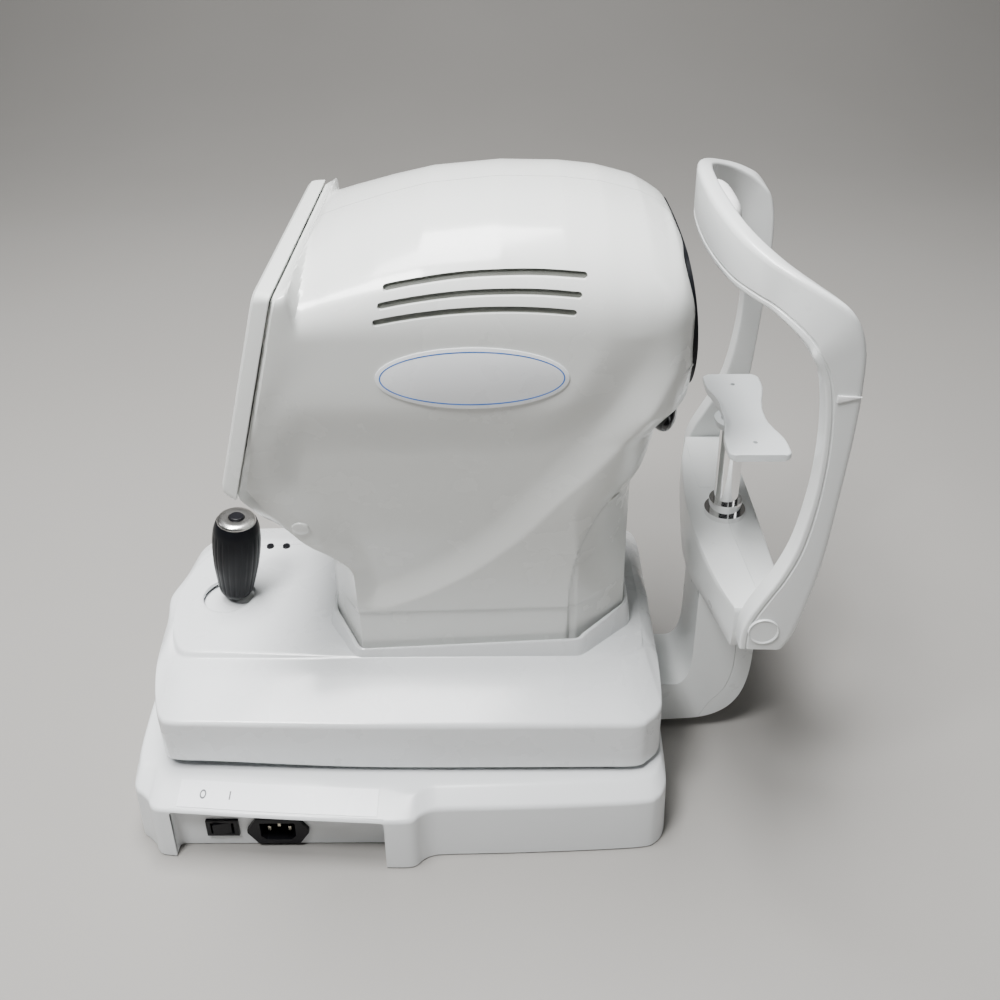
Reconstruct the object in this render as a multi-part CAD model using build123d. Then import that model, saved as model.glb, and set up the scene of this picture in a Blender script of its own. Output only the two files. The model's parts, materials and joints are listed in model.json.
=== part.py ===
from build123d import *
import math
import os

# Autorefractor. Millimetres, +X towards the patient, +Y to the operator's left, +Z up.
# The origin is at the middle of the footprint, on the table.

# ---- general ----
WALL = 2.5
REACH = 300.0

# ---- base ----
BASE_FOOT_Z = 1.2
BASE_SIDE_Z = 44.5
BASE_TOP_Z = 52.0
BASE_END_X = -230.5
BASE_CORNER_X = -222.0
BASE_PATIENT_X = 145.0
BOSS_REACH = 144.5
RECESS_X = (-192.0, -47.5)
RECESS_Y = -125.0
RECESS_TOP_Z = 42.5
WELL_X = (-95.0, 75.0)
WELL_HALF_Y = 66.0
PLATE_Z = (3.0, 5.5)
FOOT_RADIUS = 9.0
FOOT_POINTS = [(-195, -105), (-195, 105), (115, -105), (115, 105)]
SCREW_POINTS = [(-205, -60), (-205, 60), (-60, -95), (-60, 95), (60, -95), (60, 95), (125, -60), (125, 60)]
SWITCH_AT = (-160.5, 18.5)
SWITCH_SIZE = (22.0, 14.5)
INLET_AT = (-122.7, 16.0)
INLET_SIZE = (42.0, 23.0)

# ---- moving table under the stage ----
AXLE_X = -10.0
AXLE_Z = 25.0
AXLE_RADIUS = 4.0
TEETH_MODULE = 1.0
PINION_TEETH = 20
RACK_Y = 52.0
RACK_WIDTH = 8.0
RACK_LENGTH = 80.0
RACK_CENTRE_X = -24.0
ROD_Z = 36.0
ROD_RADIUS = 4.0
ROD_OFFSET_X = 28.0
CARRIAGE_PLATE_Y = 61.0
BUSH_Y = 9.0

# ---- stage ----
STAGE_BOTTOM_Z = 57.0
STAGE_SKIRT_Z = 95.0
STAGE_DECK_Z = 114.0
STAGE_HALF_Y = 110.0
STAGE_DECK_HALF_Y = 63.0
STAGE_END_X = (-215.0, 140.0)
STAGE_FRAME_Z = (59.0, 63.0)
PLINTH_TOP_Z = 128.0
COVER_SCREW_POINTS = [(-185, -80), (-185, 80), (105, -80), (105, 80)]
CHIN_BUTTON_X = (-153.5, -140.7)
CHIN_BUTTON_Y = 57.0

# ---- printer on the stage's far flank; shares run from the skirt (0) to the deck (1) ----
PRINTER_X = (-112.0, -34.0)
PRINTER_OPENING = (0.14, 0.925)
DOOR_SPAN = (0.16, 0.875)
DOOR_THICKNESS = 2.2
DOOR_GAP = 0.6
HINGE_SHARE = 0.85
HINGE_DROP = 2.2
HINGE_PIN_RADIUS = 1.0
CHEEK_WIDTH = 3.0
PAPER_ROLL_Y = 77.0
PAPER_ROLL_Z = 80.0
PAPER_ROLL_RADIUS = 12.5

# ---- joystick ----
STICK_X = -173.0
STICK_PIVOT_Z = 68.0
STICK_LEAN = 7.0
STICK_BALL_RADIUS = 12.0
DOME_RADIUS = 45.0
DECK_HOLE_RADIUS = 19.0
GRIP_FOOT = 51.0

# ---- measuring head ----
HEAD_HALF_Y = 98.0
HEAD_CREST_Z = 438.0
NECK_HALF_Y = 59.0
NECK_BOTTOM_Z = 99.0
MONITOR_TOP = (-90.0, 404.0)
MONITOR_FOOT = (-125.5, 269.5)
MONITOR_HALF_Y = 100.0
BEZEL_THICKNESS = 10.5
SCREEN_SIZE = (122.0, 92.0)
OPTICS_Z = 360.0
BADGE_AT = (17.0, 352.0)
BADGE_SIZE = (109.0, 39.0)
PLUG_POINTS = [(-94.0, 235.0), (107.6, 251.0)]
PLUG_HALF_Y = (79.5, 83.9)
PLUG_RADIUS = 5.5
VENT_CENTRE_X = 24.0
VENT_Z = [407.0, 398.0, 389.0]
LIFT_SCREW_X = -20.0

# ---- chin rest ----
NECK_X = (172.0, 212.0)
NECK_SIDE_Y = 27.0
BAR_TOP_Z = 187.0
BAR_BOTTOM_Z = 157.0
BAR_HALF_Y = 101.0
POST_X = 190.0
POST_RADIUS = 8.5
CHIN_TOP_Z = 269.5
CHIN_THICKNESS = 5.0
CHIN_HALF_Y = 53.0
PAPER_PIN_Y = 38.0
PILLAR_Y = (101.5, 116.0)
CAP_AT = (193.0, 182.0)
BAND_TOP_Z = 430.0
BAND_BOTTOM_Z = 394.0


def prism(points, plane, length=REACH):
    """Straight-sided outline, extruded both ways from its plane."""
    return extrude(plane * make_face(Polyline(*points, close=True)), amount=length, both=True)


def rounded_prism(points, radii, plane, length=REACH):
    """Outline with its own radius at each corner, extruded both ways."""
    wire = FilletPolyline(*points, radius=radii, close=True)
    return extrude(plane * make_face(wire), amount=length, both=True)


def slab(points, bottom, top):
    """Outline in plan, extruded from one height to another."""
    return extrude(Plane.XY.offset(bottom) * make_face(Polyline(*points, close=True)), amount=top - bottom)


def box(x, y, z):
    """Box from its low and high values on each axis."""
    size = (x[1] - x[0], y[1] - y[0], z[1] - z[0])
    return Pos(x[0], y[0], z[0]) * Box(*size, align=(Align.MIN, Align.MIN, Align.MIN))


def rod_z(x, y, z, radius):
    """Upright cylinder between two heights."""
    return Pos(x, y, z[0]) * Cylinder(radius, z[1] - z[0], align=(Align.CENTER, Align.CENTER, Align.MIN))


def rod_y(x, z, y, radius):
    """Cylinder along Y between two values of y."""
    upright = Cylinder(radius, y[1] - y[0], align=(Align.CENTER, Align.CENTER, Align.MIN))
    return Pos(x, y[0], z) * Rot(-90, 0, 0) * upright


def rod_x(y, z, x, radius):
    """Cylinder along X between two values of x."""
    upright = Cylinder(radius, x[1] - x[0], align=(Align.CENTER, Align.CENTER, Align.MIN))
    return Pos(x[0], y, z) * Rot(0, 90, 0) * upright


def both_sides(half):
    """Mirror half a plan outline, given from the -X end, across the X axis."""
    return half + [(x, -y) for x, y in reversed(half)]


# ------------------------------------------------------------------ base

def base_side_outline(inset=0.0, recess=True):
    """Plan of the base's walls: bowed ends, two bosses a side and the socket recess."""
    near = [
        (BASE_CORNER_X + inset, -118 + inset),
        (-212 + inset, -121 + inset),
        (-204 + inset, -132 + inset),
        (-193, -134 + inset),
    ]
    mouth = [
        (RECESS_X[0] - inset, RECESS_Y + inset),
        (RECESS_X[1] + inset, RECESS_Y + inset),
    ]
    far_end = [
        (RECESS_X[1] + inset, -BOSS_REACH + inset),
        (-31, -BOSS_REACH + inset),
        (-22, -137 + inset),
        (-8, -134.5 + inset),
        (80, -132 + inset),
        (135 - inset, -128 + inset),
        (143 - inset, -112),
        (BASE_PATIENT_X - inset, -50),
    ]
    end = [(BASE_END_X + 1.5 + inset, -45)]
    return end + near + (mouth if recess else []) + far_end


def base_outline(inset=0.0, recess=True):
    """Whole plan outline; only the near side has the socket recess."""
    near = base_side_outline(inset, recess)
    far = [(x, -y) for x, y in reversed(base_side_outline(inset, False))]
    return near + far


def base_band(inset=0.0):
    """Sloping band from the side walls up to the flat top."""
    low = [(-224, -118), (-204, -131), (-47.5, -143.5), (-31, -143.5), (-12, -134), (80, -131), (135, -127)]
    high = [(-221, -98), (-204, -101), (-47.5, -114), (-31, -114.5), (-12, -115), (80, -111), (135, -103)]
    ends_low = [(BASE_END_X, -20)]
    ends_high = [(BASE_END_X + 3, -20)]
    low = [(x, y + inset) for x, y in ends_low + low + [(BASE_PATIENT_X, -60)]]
    high = [(x, y + inset) for x, y in ends_high + high + [(BASE_PATIENT_X - 2, -60)]]
    faces = [Plane.XY.offset(BASE_SIDE_Z) * make_face(Polyline(*both_sides(low), close=True))]
    faces.append(Plane.XY.offset(BASE_TOP_Z) * make_face(Polyline(*both_sides(high), close=True)))
    return loft(faces, ruled=True)


def recess_box():
    """Space of the socket recess under the band."""
    return box(RECESS_X, (-160, RECESS_Y), (0, RECESS_TOP_Z))


def recess_cutout(centre, half_width, half_height):
    """Rectangular hole through the recess's back wall."""
    x, z = centre
    return box((x - half_width, x + half_width), (-130, -120), (z - half_height, z + half_height))


def make_base_cover():
    """Moulded cover: walls, sloping band and top, with the recess and the well for the moving table."""
    walls = slab(base_outline(recess=False), BASE_FOOT_Z, BASE_SIDE_Z)
    cover = walls + base_band()
    hollow = slab(base_outline(WALL + 0.5, recess=False), 0, BASE_SIDE_Z - WALL)
    top_hollow = [(-226, -60), (-216, -95), (-30, -111), (131, -99), (141, -60)]
    hollow += slab(both_sides(top_hollow), BASE_SIDE_Z - WALL - 1, BASE_TOP_Z - WALL)
    recess_wall = box(
        (RECESS_X[0] - WALL, RECESS_X[1] + WALL),
        (-150, RECESS_Y + WALL),
        (0, RECESS_TOP_Z + WALL),
    )
    cover = cover - hollow
    cover += recess_wall & slab(base_outline(recess=False), BASE_FOOT_Z, BASE_SIDE_Z)
    cover -= recess_box()
    well = box(WELL_X, (-WELL_HALF_Y, WELL_HALF_Y), (BASE_SIDE_Z, BASE_TOP_Z + 1))
    cutouts = recess_cutout(SWITCH_AT, 9.6, 6.5) + recess_cutout(INLET_AT, 13.6, 9.1)
    neck_hole = box((BASE_PATIENT_X - 10, BASE_PATIENT_X + 5), (-NECK_SIDE_Y + 6, NECK_SIDE_Y - 6), (17, 42))
    return cover - well - cutouts - neck_hole


def make_base_plate():
    """Steel plate that closes the base from below and carries the racks and the feet."""
    half = [(-221, -60), (-212, -108), (-190, -118), (125, -118), (138, -60)]
    plate = slab(both_sides(half), *PLATE_Z)
    for x, y in SCREW_POINTS:
        plate -= rod_z(x, y, (0, 20), 1.7)
    return plate


def make_rubber_feet():
    """Four feet, each with a peg pushed up into the plate's underside."""
    feet = Part()
    for x, y in FOOT_POINTS:
        feet += rod_z(x, y, (0, PLATE_Z[0]), FOOT_RADIUS)
    return feet


def make_base_screws():
    """Pan-head screws from below into the cover's pillars."""
    screws = Part()
    for x, y in SCREW_POINTS:
        screws += rod_z(x, y, (PLATE_Z[0] - 2.2, PLATE_Z[0]), 3.2)
        screws += rod_z(x, y, (PLATE_Z[0] - 0.1, PLATE_Z[1] + 10), 1.5)
    return screws


def make_cover_pillars():
    """Screw pillars that hang from the cover's top down to the plate."""
    pillars = Part()
    for x, y in SCREW_POINTS:
        pillars += rod_z(x, y, (PLATE_Z[1], BASE_TOP_Z - 1), 4.5) - rod_z(x, y, (0, PLATE_Z[1] + 14), 1.55)
    return pillars


def make_rack_rails():
    """Two racks along X that the axle's pinions roll on."""
    pitch = math.pi * TEETH_MODULE
    pitch_z = AXLE_Z - PINION_TEETH * TEETH_MODULE / 2
    rails = Part()
    for side in (-1, 1):
        y = (side * RACK_Y - RACK_WIDTH / 2, side * RACK_Y + RACK_WIDTH / 2)
        x = (RACK_CENTRE_X - RACK_LENGTH / 2, RACK_CENTRE_X + RACK_LENGTH / 2)
        rail = box(x, y, (PLATE_Z[1], pitch_z - 1.25 * TEETH_MODULE))
        first = math.ceil((x[0] - AXLE_X) / pitch)
        last = math.floor((x[1] - AXLE_X) / pitch) - 1
        for index in range(first, last + 1):
            rail += rack_tooth(AXLE_X + pitch * (index + 0.5), pitch_z, pitch, y)
        rails += rail
    return rails


def rack_tooth(x, pitch_z, pitch, y):
    """One straight tooth, 0.15 mm thinner than its share of the pitch."""
    slope = math.tan(math.radians(20))
    half = pitch / 4 - 0.15
    low = 1.3 * TEETH_MODULE
    high = 0.8 * TEETH_MODULE
    points = [
        (x - half - low * slope, pitch_z - low),
        (x - half + high * slope, pitch_z + high),
        (x + half - high * slope, pitch_z + high),
        (x + half + low * slope, pitch_z - low),
    ]
    face = Plane.XZ.offset(-y[0]) * make_face(Polyline(*points, close=True))
    return extrude(face, amount=-(y[1] - y[0]))


def make_friction_plate():
    """Plate on the base's top that the foot of the joystick slides on."""
    plate = box((STICK_X - 43, STICK_X + 23), (-54, 54), (BASE_TOP_Z, BASE_TOP_Z + 1.5))
    return fillet(plate.edges().filter_by(Axis.Z), 6)


def make_power_inlet():
    """Three-pin inlet: ear-shaped flange, socket body behind it and a hollow mouth."""
    x, z = INLET_AT
    half_w, half_h = INLET_SIZE[0] / 2, INLET_SIZE[1] / 2
    ear = 6.5
    points = [
        (x - half_w, z - 1.5), (x - half_w + ear, z - half_h), (x + half_w - ear, z - half_h),
        (x + half_w, z - 1.5), (x + half_w, z + 1.5), (x + half_w - ear, z + half_h),
        (x - half_w + ear, z + half_h), (x - half_w, z + 1.5),
    ]
    flange = extrude(Plane.XZ.offset(-RECESS_Y) * make_face(Polyline(*points, close=True)), amount=2.6)
    body = box((x - 13.4, x + 13.4), (RECESS_Y - 1, RECESS_Y + 22), (z - 8.9, z + 8.9))
    mouth = [
        (x - 12, z - 4.5), (x - 8.5, z - 8), (x + 8.5, z - 8),
        (x + 12, z - 4.5), (x + 12, z + 8), (x - 12, z + 8),
    ]
    hole = extrude(Plane.XZ.offset(-RECESS_Y + 3) * make_face(Polyline(*mouth, close=True)), amount=-20)
    return flange + body - hole - make_inlet_pins()


def make_inlet_pins():
    """Three blades inside the inlet's mouth."""
    x, z = INLET_AT
    pins = Part()
    for offset, height in ((-7, -2.5), (0, 1.5), (7, -2.5)):
        span_z = (z + height - 2, z + height + 2)
        pins += box((x + offset - 1, x + offset + 1), (RECESS_Y + 2, RECESS_Y + 25), span_z)
    return pins


def make_switch_frame():
    """Bezel and body of the rocker switch, open in front."""
    x, z = SWITCH_AT
    half_w, half_h = SWITCH_SIZE[0] / 2, SWITCH_SIZE[1] / 2
    frame = box((x - half_w, x + half_w), (RECESS_Y - 2, RECESS_Y), (z - half_h, z + half_h))
    frame += box((x - 9.4, x + 9.4), (RECESS_Y - 0.5, RECESS_Y + 16), (z - 6.3, z + 6.3))
    return frame - box((x - 8, x + 8), (RECESS_Y - 3, RECESS_Y + 12), (z - 5.3, z + 5.3))


def make_power_rocker():
    """Rocker: two shallow slopes that meet over its pivot pin."""
    x, z = SWITCH_AT
    y = RECESS_Y
    points = [(x - 6, y - 3.6), (x, y - 2.4), (x + 6, y - 1.6), (x + 5, y + 5), (x - 5, y + 5)]
    rocker = extrude(Plane.XY.offset(z - 4.9) * make_face(Polyline(*points, close=True)), amount=9.8)
    return rocker + rod_z(x, y + 4, (z - 5.25, z + 5.25), 0.8)


def make_port_label():
    """Thin white plate on the sloping band above the switch and the inlet."""
    lifted = Pos(0, 0, 0.7) * base_band()
    region = slab([(-187, -131.5), (-52, -142.5), (-52, -118), (-187, -106)], BASE_SIDE_Z - 5, BASE_TOP_Z + 5)
    return (lifted - base_band()) & region


def make_power_supply():
    """Boxed supply on the plate behind the switch and the inlet."""
    case = box((-200, -105), (-70, -10), (PLATE_Z[1], 38))
    return fillet(case.edges().filter_by(Axis.Z), 3)


# ------------------------------------------------------------------ chin rest

def make_neck_shell():
    """Hollow L-shaped arm from the base's end up to the crossbar."""
    outer = neck_body(0.0)
    inner = neck_body(3.0)
    mouth = box((BASE_PATIENT_X - 5, BASE_PATIENT_X + 8), (-NECK_SIDE_Y + 8, NECK_SIDE_Y - 8), (19, 40))
    return outer - inner - mouth - make_neck_cover_blank()


def neck_body(inset):
    """Arm's solid, shrunk evenly by the inset."""
    low_x, high_x = NECK_X[0] + inset, NECK_X[1] + 4 - inset
    start_x = BASE_PATIENT_X + inset
    top = BAR_BOTTOM_Z + inset
    points = [
        (start_x, 11 + inset), (high_x - 16, 16 + inset), (high_x, 48), (NECK_X[1] - inset, top),
        (low_x, top), (low_x, 48 - inset), (start_x, 48 - inset),
    ]
    radii = [0.5, 18, 30, 0.5, 0.5, 22 + inset, 0.5]
    return rounded_prism(points, radii, Plane.XZ, NECK_SIDE_Y - inset)


def make_neck_cover_blank():
    """Space of the rear cover: the arm's patient side, behind a seam."""
    points = [(201, 160), (202, 60), (190, 30), (178, 8), (240, 8), (240, 160)]
    return prism(points, Plane.XZ, 60)


def make_neck_cover():
    """Rear cover of the arm, held against the shell along the seam."""
    shell = neck_body(0.0) - neck_body(3.0)
    return shell & make_neck_cover_blank()


def bar_outline(inset=0.0):
    """Plan of the crossbar: bowed towards the machine."""
    ends = BAR_HALF_Y - inset
    return [
        (177 + inset, -ends), (167 + inset, -50), (163.5 + inset, 0), (167 + inset, 50), (177 + inset, ends),
        (212 - inset, ends), (212 - inset, -ends),
    ]


def make_chin_bar():
    """Hollow crossbar, open below, with a bore for the post's guide collar."""
    outer = slab(bar_outline(), BAR_BOTTOM_Z, BAR_TOP_Z)
    inner = slab(bar_outline(3.0), BAR_BOTTOM_Z - 1, BAR_TOP_Z - 4)
    bar = outer - inner
    for side in (-1, 1):
        bar += box((180, 208), (side * 86 - 3, side * 86 + 3), (BAR_BOTTOM_Z, BAR_TOP_Z - 3))
    return bar - rod_z(POST_X, 0, (BAR_BOTTOM_Z - 2, BAR_TOP_Z + 2), POST_RADIUS + 3) - make_frame_screws()


def make_bar_cover():
    """Plate that closes the crossbar from below, around the arm."""
    plate = slab(bar_outline(), BAR_BOTTOM_Z - 3, BAR_BOTTOM_Z)
    arm = box((NECK_X[0] - 0.2, NECK_X[1] + 10), (-NECK_SIDE_Y - 0.2, NECK_SIDE_Y + 0.2), (100, 200))
    return plate - arm - make_frame_screws()


def make_chin_collar():
    """Chromed guide collar that the post slides through."""
    collar = rod_z(POST_X, 0, (BAR_TOP_Z, BAR_TOP_Z + 4), 14.3)
    collar += rod_z(POST_X, 0, (BAR_TOP_Z + 4, BAR_TOP_Z + 12), 11.5)
    collar += rod_z(POST_X, 0, (BAR_TOP_Z - 14, BAR_TOP_Z), POST_RADIUS + 2.9)
    return collar - rod_z(POST_X, 0, (BAR_TOP_Z - 20, BAR_TOP_Z + 20), POST_RADIUS + 0.06)


def make_chin_post():
    """Chromed tube with a threaded nut at its foot."""
    post = rod_z(POST_X, 0, (112, CHIN_TOP_Z - CHIN_THICKNESS), POST_RADIUS)
    post -= rod_z(POST_X, 0, (122, 240), 5.5)
    return post - rod_z(POST_X, 0, (110, 130), 3.06)


def make_chin_plate():
    """Waisted chin plate with a raised lip on the machine side and two paper-pin holes."""
    half = CHIN_HALF_Y
    left = [(176.5, half), (176.5, 34), (180.5, 14), (180.5, -14), (176.5, -34), (176.5, -half)]
    right = [(217, -half), (217, -34), (212, -14), (212, 14), (217, 34), (217, half)]
    bottom = CHIN_TOP_Z - CHIN_THICKNESS
    plate = slab(left + right, bottom, CHIN_TOP_Z)
    plate = fillet(plate.edges().filter_by(Axis.Z), 4)
    lip_side = [(176.5, 30), (179.5, 30), (183, 12)]
    lip_plan = lip_side + [(x, -y) for x, y in reversed(lip_side)] + [(180.5, -12), (180.5, 12)]
    lip = slab(lip_plan, CHIN_TOP_Z, CHIN_TOP_Z + 1.6)
    plate += lip
    plate += rod_z(POST_X, 0, (bottom - 6, bottom), 13) - rod_z(POST_X, 0, (bottom - 7, bottom), POST_RADIUS)
    for side in (-1, 1):
        plate -= rod_z(196, side * PAPER_PIN_Y, (bottom - 1, CHIN_TOP_Z + 1), 1.6)
    return plate


def make_chin_gearmotor():
    """Gearmotor upright in the arm's foot."""
    motor = rod_z(POST_X, 0, (34, 52), 9)
    motor += rod_z(POST_X, 0, (52, 55), 5)
    bracket = box((176, 199), (-23, 23), (44, 47)) - rod_z(POST_X, 0, (40, 50), 9)
    return motor + bracket


def make_chin_screw():
    """Lead screw that lifts the post by its nut."""
    screw = rod_z(POST_X, 0, (55.5, 165), 3.0)
    return screw + rod_z(POST_X, 0, (55.5, 59), 4.5)


def pillar(side):
    """One side of the forehead frame, bowed towards the patient."""
    foot = [(181, 159), (206, 157), (213, 170)]
    rear = [
        (218, 200), (224, 240), (228, 290), (230.5, 345),
        (230, 375), (224, 391), (214, 400), (203, 407),
    ]
    front = [
        (196, 392), (202, 375), (209, 352), (212.5, 320),
        (211.5, 270), (206, 244), (197, 218), (186, 195),
    ]
    wire = Polyline(*foot, *rear, *front, close=True)
    start = min(side * PILLAR_Y[0], side * PILLAR_Y[1])
    return extrude(Plane.XZ.offset(-start) * make_face(wire), amount=-(PILLAR_Y[1] - PILLAR_Y[0]))


def band_outline():
    """Plan of the forehead band: a shallow arch between the two pillars."""
    outer = [(214, -116), (196, -108), (181, -95), (169, -78), (161, -54), (158, -28), (157.5, 0)]
    inner = [(167.5, 0), (168, -26), (171, -50), (178, -71), (188, -85), (202, -96), (218, -101.5)]
    half = outer + [(x, -y) for x, y in reversed(outer[:-1])]
    back = [(x, -y) for x, y in reversed(inner)] + inner[1:]
    return half + back


def make_forehead_frame():
    """Frame in one piece: two pillars and the band that arches between them."""
    band = slab(band_outline(), 360, BAND_TOP_Z)
    side_view = [
        (150, BAND_BOTTOM_Z), (168, 391), (180, 385), (203, 374), (240, 366), (240, 385), (214, 401),
        (200, 408), (181, 417), (166, BAND_TOP_Z), (150, BAND_TOP_Z),
    ]
    frame = band & prism(side_view, Plane.XZ, 140)
    return frame + pillar(-1) + pillar(1) - make_frame_screws()


def make_forehead_pad():
    """Cushion on the inner side of the forehead band."""
    rear = [(168.8, -30), (167.9, -15), (167.6, 0), (167.9, 15), (168.8, 30)]
    outline = rear + [(177, 27), (179.5, 0), (177, -27)]
    return slab(outline, BAND_BOTTOM_Z + 4, BAND_TOP_Z - 2)


def make_frame_caps():
    """Round caps over the screws at the foot of each pillar."""
    caps = Part()
    for side in (-1, 1):
        y = (PILLAR_Y[1], PILLAR_Y[1] + 1.5) if side > 0 else (-PILLAR_Y[1] - 1.5, -PILLAR_Y[1])
        caps += rod_y(*CAP_AT, y, 9.5)
    return caps


def make_frame_screws():
    """Screws through each pillar's foot into the crossbar's end."""
    screws = Part()
    for side in (-1, 1):
        y = (86, PILLAR_Y[1]) if side > 0 else (-PILLAR_Y[1], -86)
        screws += rod_y(*CAP_AT, y, 2.5)
    return screws


def make_eye_marks():
    """Wedge-shaped marks that show the height of the eye."""
    marks = Part()
    for side in (-1, 1):
        y = PILLAR_Y[1] if side > 0 else -PILLAR_Y[1] - 1.2
        points = [(216, 345), (229.5, 348.5), (216, 349.5)]
        marks += extrude(Plane.XZ.offset(-y) * make_face(Polyline(*points, close=True)), amount=-1.2)
    return marks


# ------------------------------------------------------------------ moving table

def make_carriage_frame():
    """Two side plates, tied by the rods, that roll fore and aft on the pinions."""
    frame = Part()
    for side in (-1, 1):
        inner = side * CARRIAGE_PLATE_Y
        y = (min(inner, inner - side * 3), max(inner, inner - side * 3))
        plate = box((AXLE_X - 38, AXLE_X + 38), y, (17.5, 42))
        plate -= rod_y(AXLE_X, AXLE_Z, (y[0] - 1, y[1] + 1), AXLE_RADIUS + 0.05)
        frame += plate
    return frame - make_cross_rods()


def make_cross_rods():
    """Two ground rods along Y for the lateral travel."""
    rods = Part()
    for side in (-1, 1):
        rods += rod_y(AXLE_X + side * ROD_OFFSET_X, ROD_Z, (-CARRIAGE_PLATE_Y, CARRIAGE_PLATE_Y), ROD_RADIUS)
    return rods


def make_cross_axle():
    """Axle with a pinion at each end, in mesh with the racks."""
    axle = rod_y(AXLE_X, AXLE_Z, (-CARRIAGE_PLATE_Y, CARRIAGE_PLATE_Y), AXLE_RADIUS)
    for side in (-1, 1):
        axle += pinion((side * RACK_Y - 3, side * RACK_Y + 3))
    return axle


def pinion(y):
    """Straight-cut pinion whose lowest tooth gap sits over a rack tooth."""
    radius = PINION_TEETH * TEETH_MODULE / 2
    wheel = rod_y(AXLE_X, AXLE_Z, y, radius - 1.25 * TEETH_MODULE)
    half_root = 0.95
    half_tip = 0.38
    root = radius - 1.6 * TEETH_MODULE
    tip = radius + 0.8 * TEETH_MODULE
    points = [(-half_root, root), (half_root, root), (half_tip, tip), (-half_tip, tip)]
    face = Plane.XZ * make_face(Polyline(*points, close=True))
    tooth = extrude(face, amount=-(y[1] - y[0]))
    for index in range(PINION_TEETH):
        turn = 360.0 / PINION_TEETH * index + 180
        wheel += Pos(AXLE_X, y[0], AXLE_Z) * Rot(0, turn, 0) * tooth
    return wheel


# ------------------------------------------------------------------ stage

def stage_solid(inset=0.0):
    """Stage's outer form: bowed plan, upright skirt and sloping flanks."""
    low_x, high_x = STAGE_END_X[0] + inset, STAGE_END_X[1] - inset
    plan = [
        (low_x, -20), (low_x + 5, -70), (low_x + 15, -104 + inset), (-120, -107 + inset), (-20, -110 + inset),
        (122 - inset, -110 + inset), (high_x - 2, -96), (high_x, -40),
    ]
    half = STAGE_HALF_Y - inset
    deck_half = STAGE_DECK_HALF_Y - inset * 0.5
    bottom = STAGE_BOTTOM_Z if inset == 0 else STAGE_BOTTOM_Z - 10
    skirt = STAGE_SKIRT_Z - inset * 0.6
    deck = STAGE_DECK_Z - inset
    front = [
        (-half, bottom), (-half, skirt), (-deck_half, deck),
        (deck_half, deck), (half, skirt), (half, bottom),
    ]
    side = [
        (low_x - 1, bottom), (low_x - 1, deck - 8), (low_x + 7, deck),
        (high_x - 10, deck), (high_x + 1, bottom),
    ]
    form = slab(both_sides(plan), bottom, deck + 1)
    return form & prism(front, Plane.YZ) & prism(side, Plane.XZ)


def neck_plan(grow=0.0):
    """Plan of the head's neck where it enters the stage."""
    half = NECK_HALF_Y + grow
    left, right = -86 - grow, 117 + grow
    return both_sides([(left, -28), (-66 - grow * 0.4, -half), (82 + grow * 0.4, -half), (right, -30)])


def make_stage_cover():
    """Moulded cover with the plinth round the neck and the holes for the stick and buttons."""
    cover = stage_solid() + slab(neck_plan(4.5), STAGE_DECK_Z - 4, PLINTH_TOP_Z)
    cover -= stage_solid(WALL)
    cover -= slab(neck_plan(1.2), STAGE_DECK_Z - 10, PLINTH_TOP_Z + 1)
    cover -= rod_z(STICK_X, 0, (100, 120), DECK_HOLE_RADIUS)
    for x in CHIN_BUTTON_X:
        cover -= rod_z(x, CHIN_BUTTON_Y, (100, 120), 3.1)
    cover -= flank_prism(PRINTER_OPENING, -6, 8, PRINTER_X)
    return cover


def flank_point(fraction, drop=0.0):
    """Point on the far flank, from the skirt (0) to the deck (1), sunk by the drop."""
    run = STAGE_HALF_Y - STAGE_DECK_HALF_Y
    rise = STAGE_DECK_Z - STAGE_SKIRT_Z
    length = math.hypot(run, rise)
    y = STAGE_HALF_Y - run * fraction - drop * rise / length
    z = STAGE_SKIRT_Z + rise * fraction - drop * run / length
    return (y, z)


def flank_prism(span, outer, inner, x):
    """Block that follows the far flank between two shares of its slope and two depths."""
    points = [
        flank_point(span[0], inner), flank_point(span[1], inner),
        flank_point(span[1], outer), flank_point(span[0], outer),
    ]
    return extrude(Plane.YZ.offset(x[0]) * make_face(Polyline(*points, close=True)), amount=x[1] - x[0])


def cheek_spans():
    """Where the two cheeks that carry the door's hinge pin stand along X."""
    near = PRINTER_X[0] + 1
    far = PRINTER_X[1] - 1
    return [(near, near + CHEEK_WIDTH), (far - CHEEK_WIDTH, far)]


def make_printer_door():
    """Door of the printer, hinged near its upper edge, with lugs round the pin and a notch at each cheek."""
    door = flank_prism(DOOR_SPAN, -0.4, DOOR_THICKNESS, (PRINTER_X[0] + DOOR_GAP, PRINTER_X[1] - DOOR_GAP))
    y, z = door_hinge()
    for start in (PRINTER_X[0] + 8, PRINTER_X[1] - 16):
        door += rod_x(y, z, (start, start + 8), HINGE_PIN_RADIUS + 1.1)
    for low, high in cheek_spans():
        door -= box((low - 1.2, high + 0.5), (y - 4, y + 4), (z - 4, z + 4))
    return door - rod_x(y, z, PRINTER_X, HINGE_PIN_RADIUS + 0.06)


def door_hinge():
    """Centre of the door's hinge pin, just under the door's upper edge."""
    return flank_point(HINGE_SHARE, HINGE_DROP)


def make_printer_case():
    """Open tray that holds the roll, with the two cheeks and the hinge pin."""
    x = (PRINTER_X[0] - 2, PRINTER_X[1] + 2)
    case = box(x, (62, 102), (STAGE_FRAME_Z[1], 88))
    case -= box((x[0] + 2, x[1] - 2), (64, 100), (STAGE_FRAME_Z[1] + 2, 120))
    y, z = door_hinge()
    for span in cheek_spans():
        case += box(span, (62, y + 1.2), (80, z + 1.2))
    case += rod_x(y, z, (PRINTER_X[0] + 1, PRINTER_X[1] - 1), HINGE_PIN_RADIUS)
    return case - rod_x(PAPER_ROLL_Y, PAPER_ROLL_Z, (x[0] - 1, x[1] + 1), 3.05)


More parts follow.
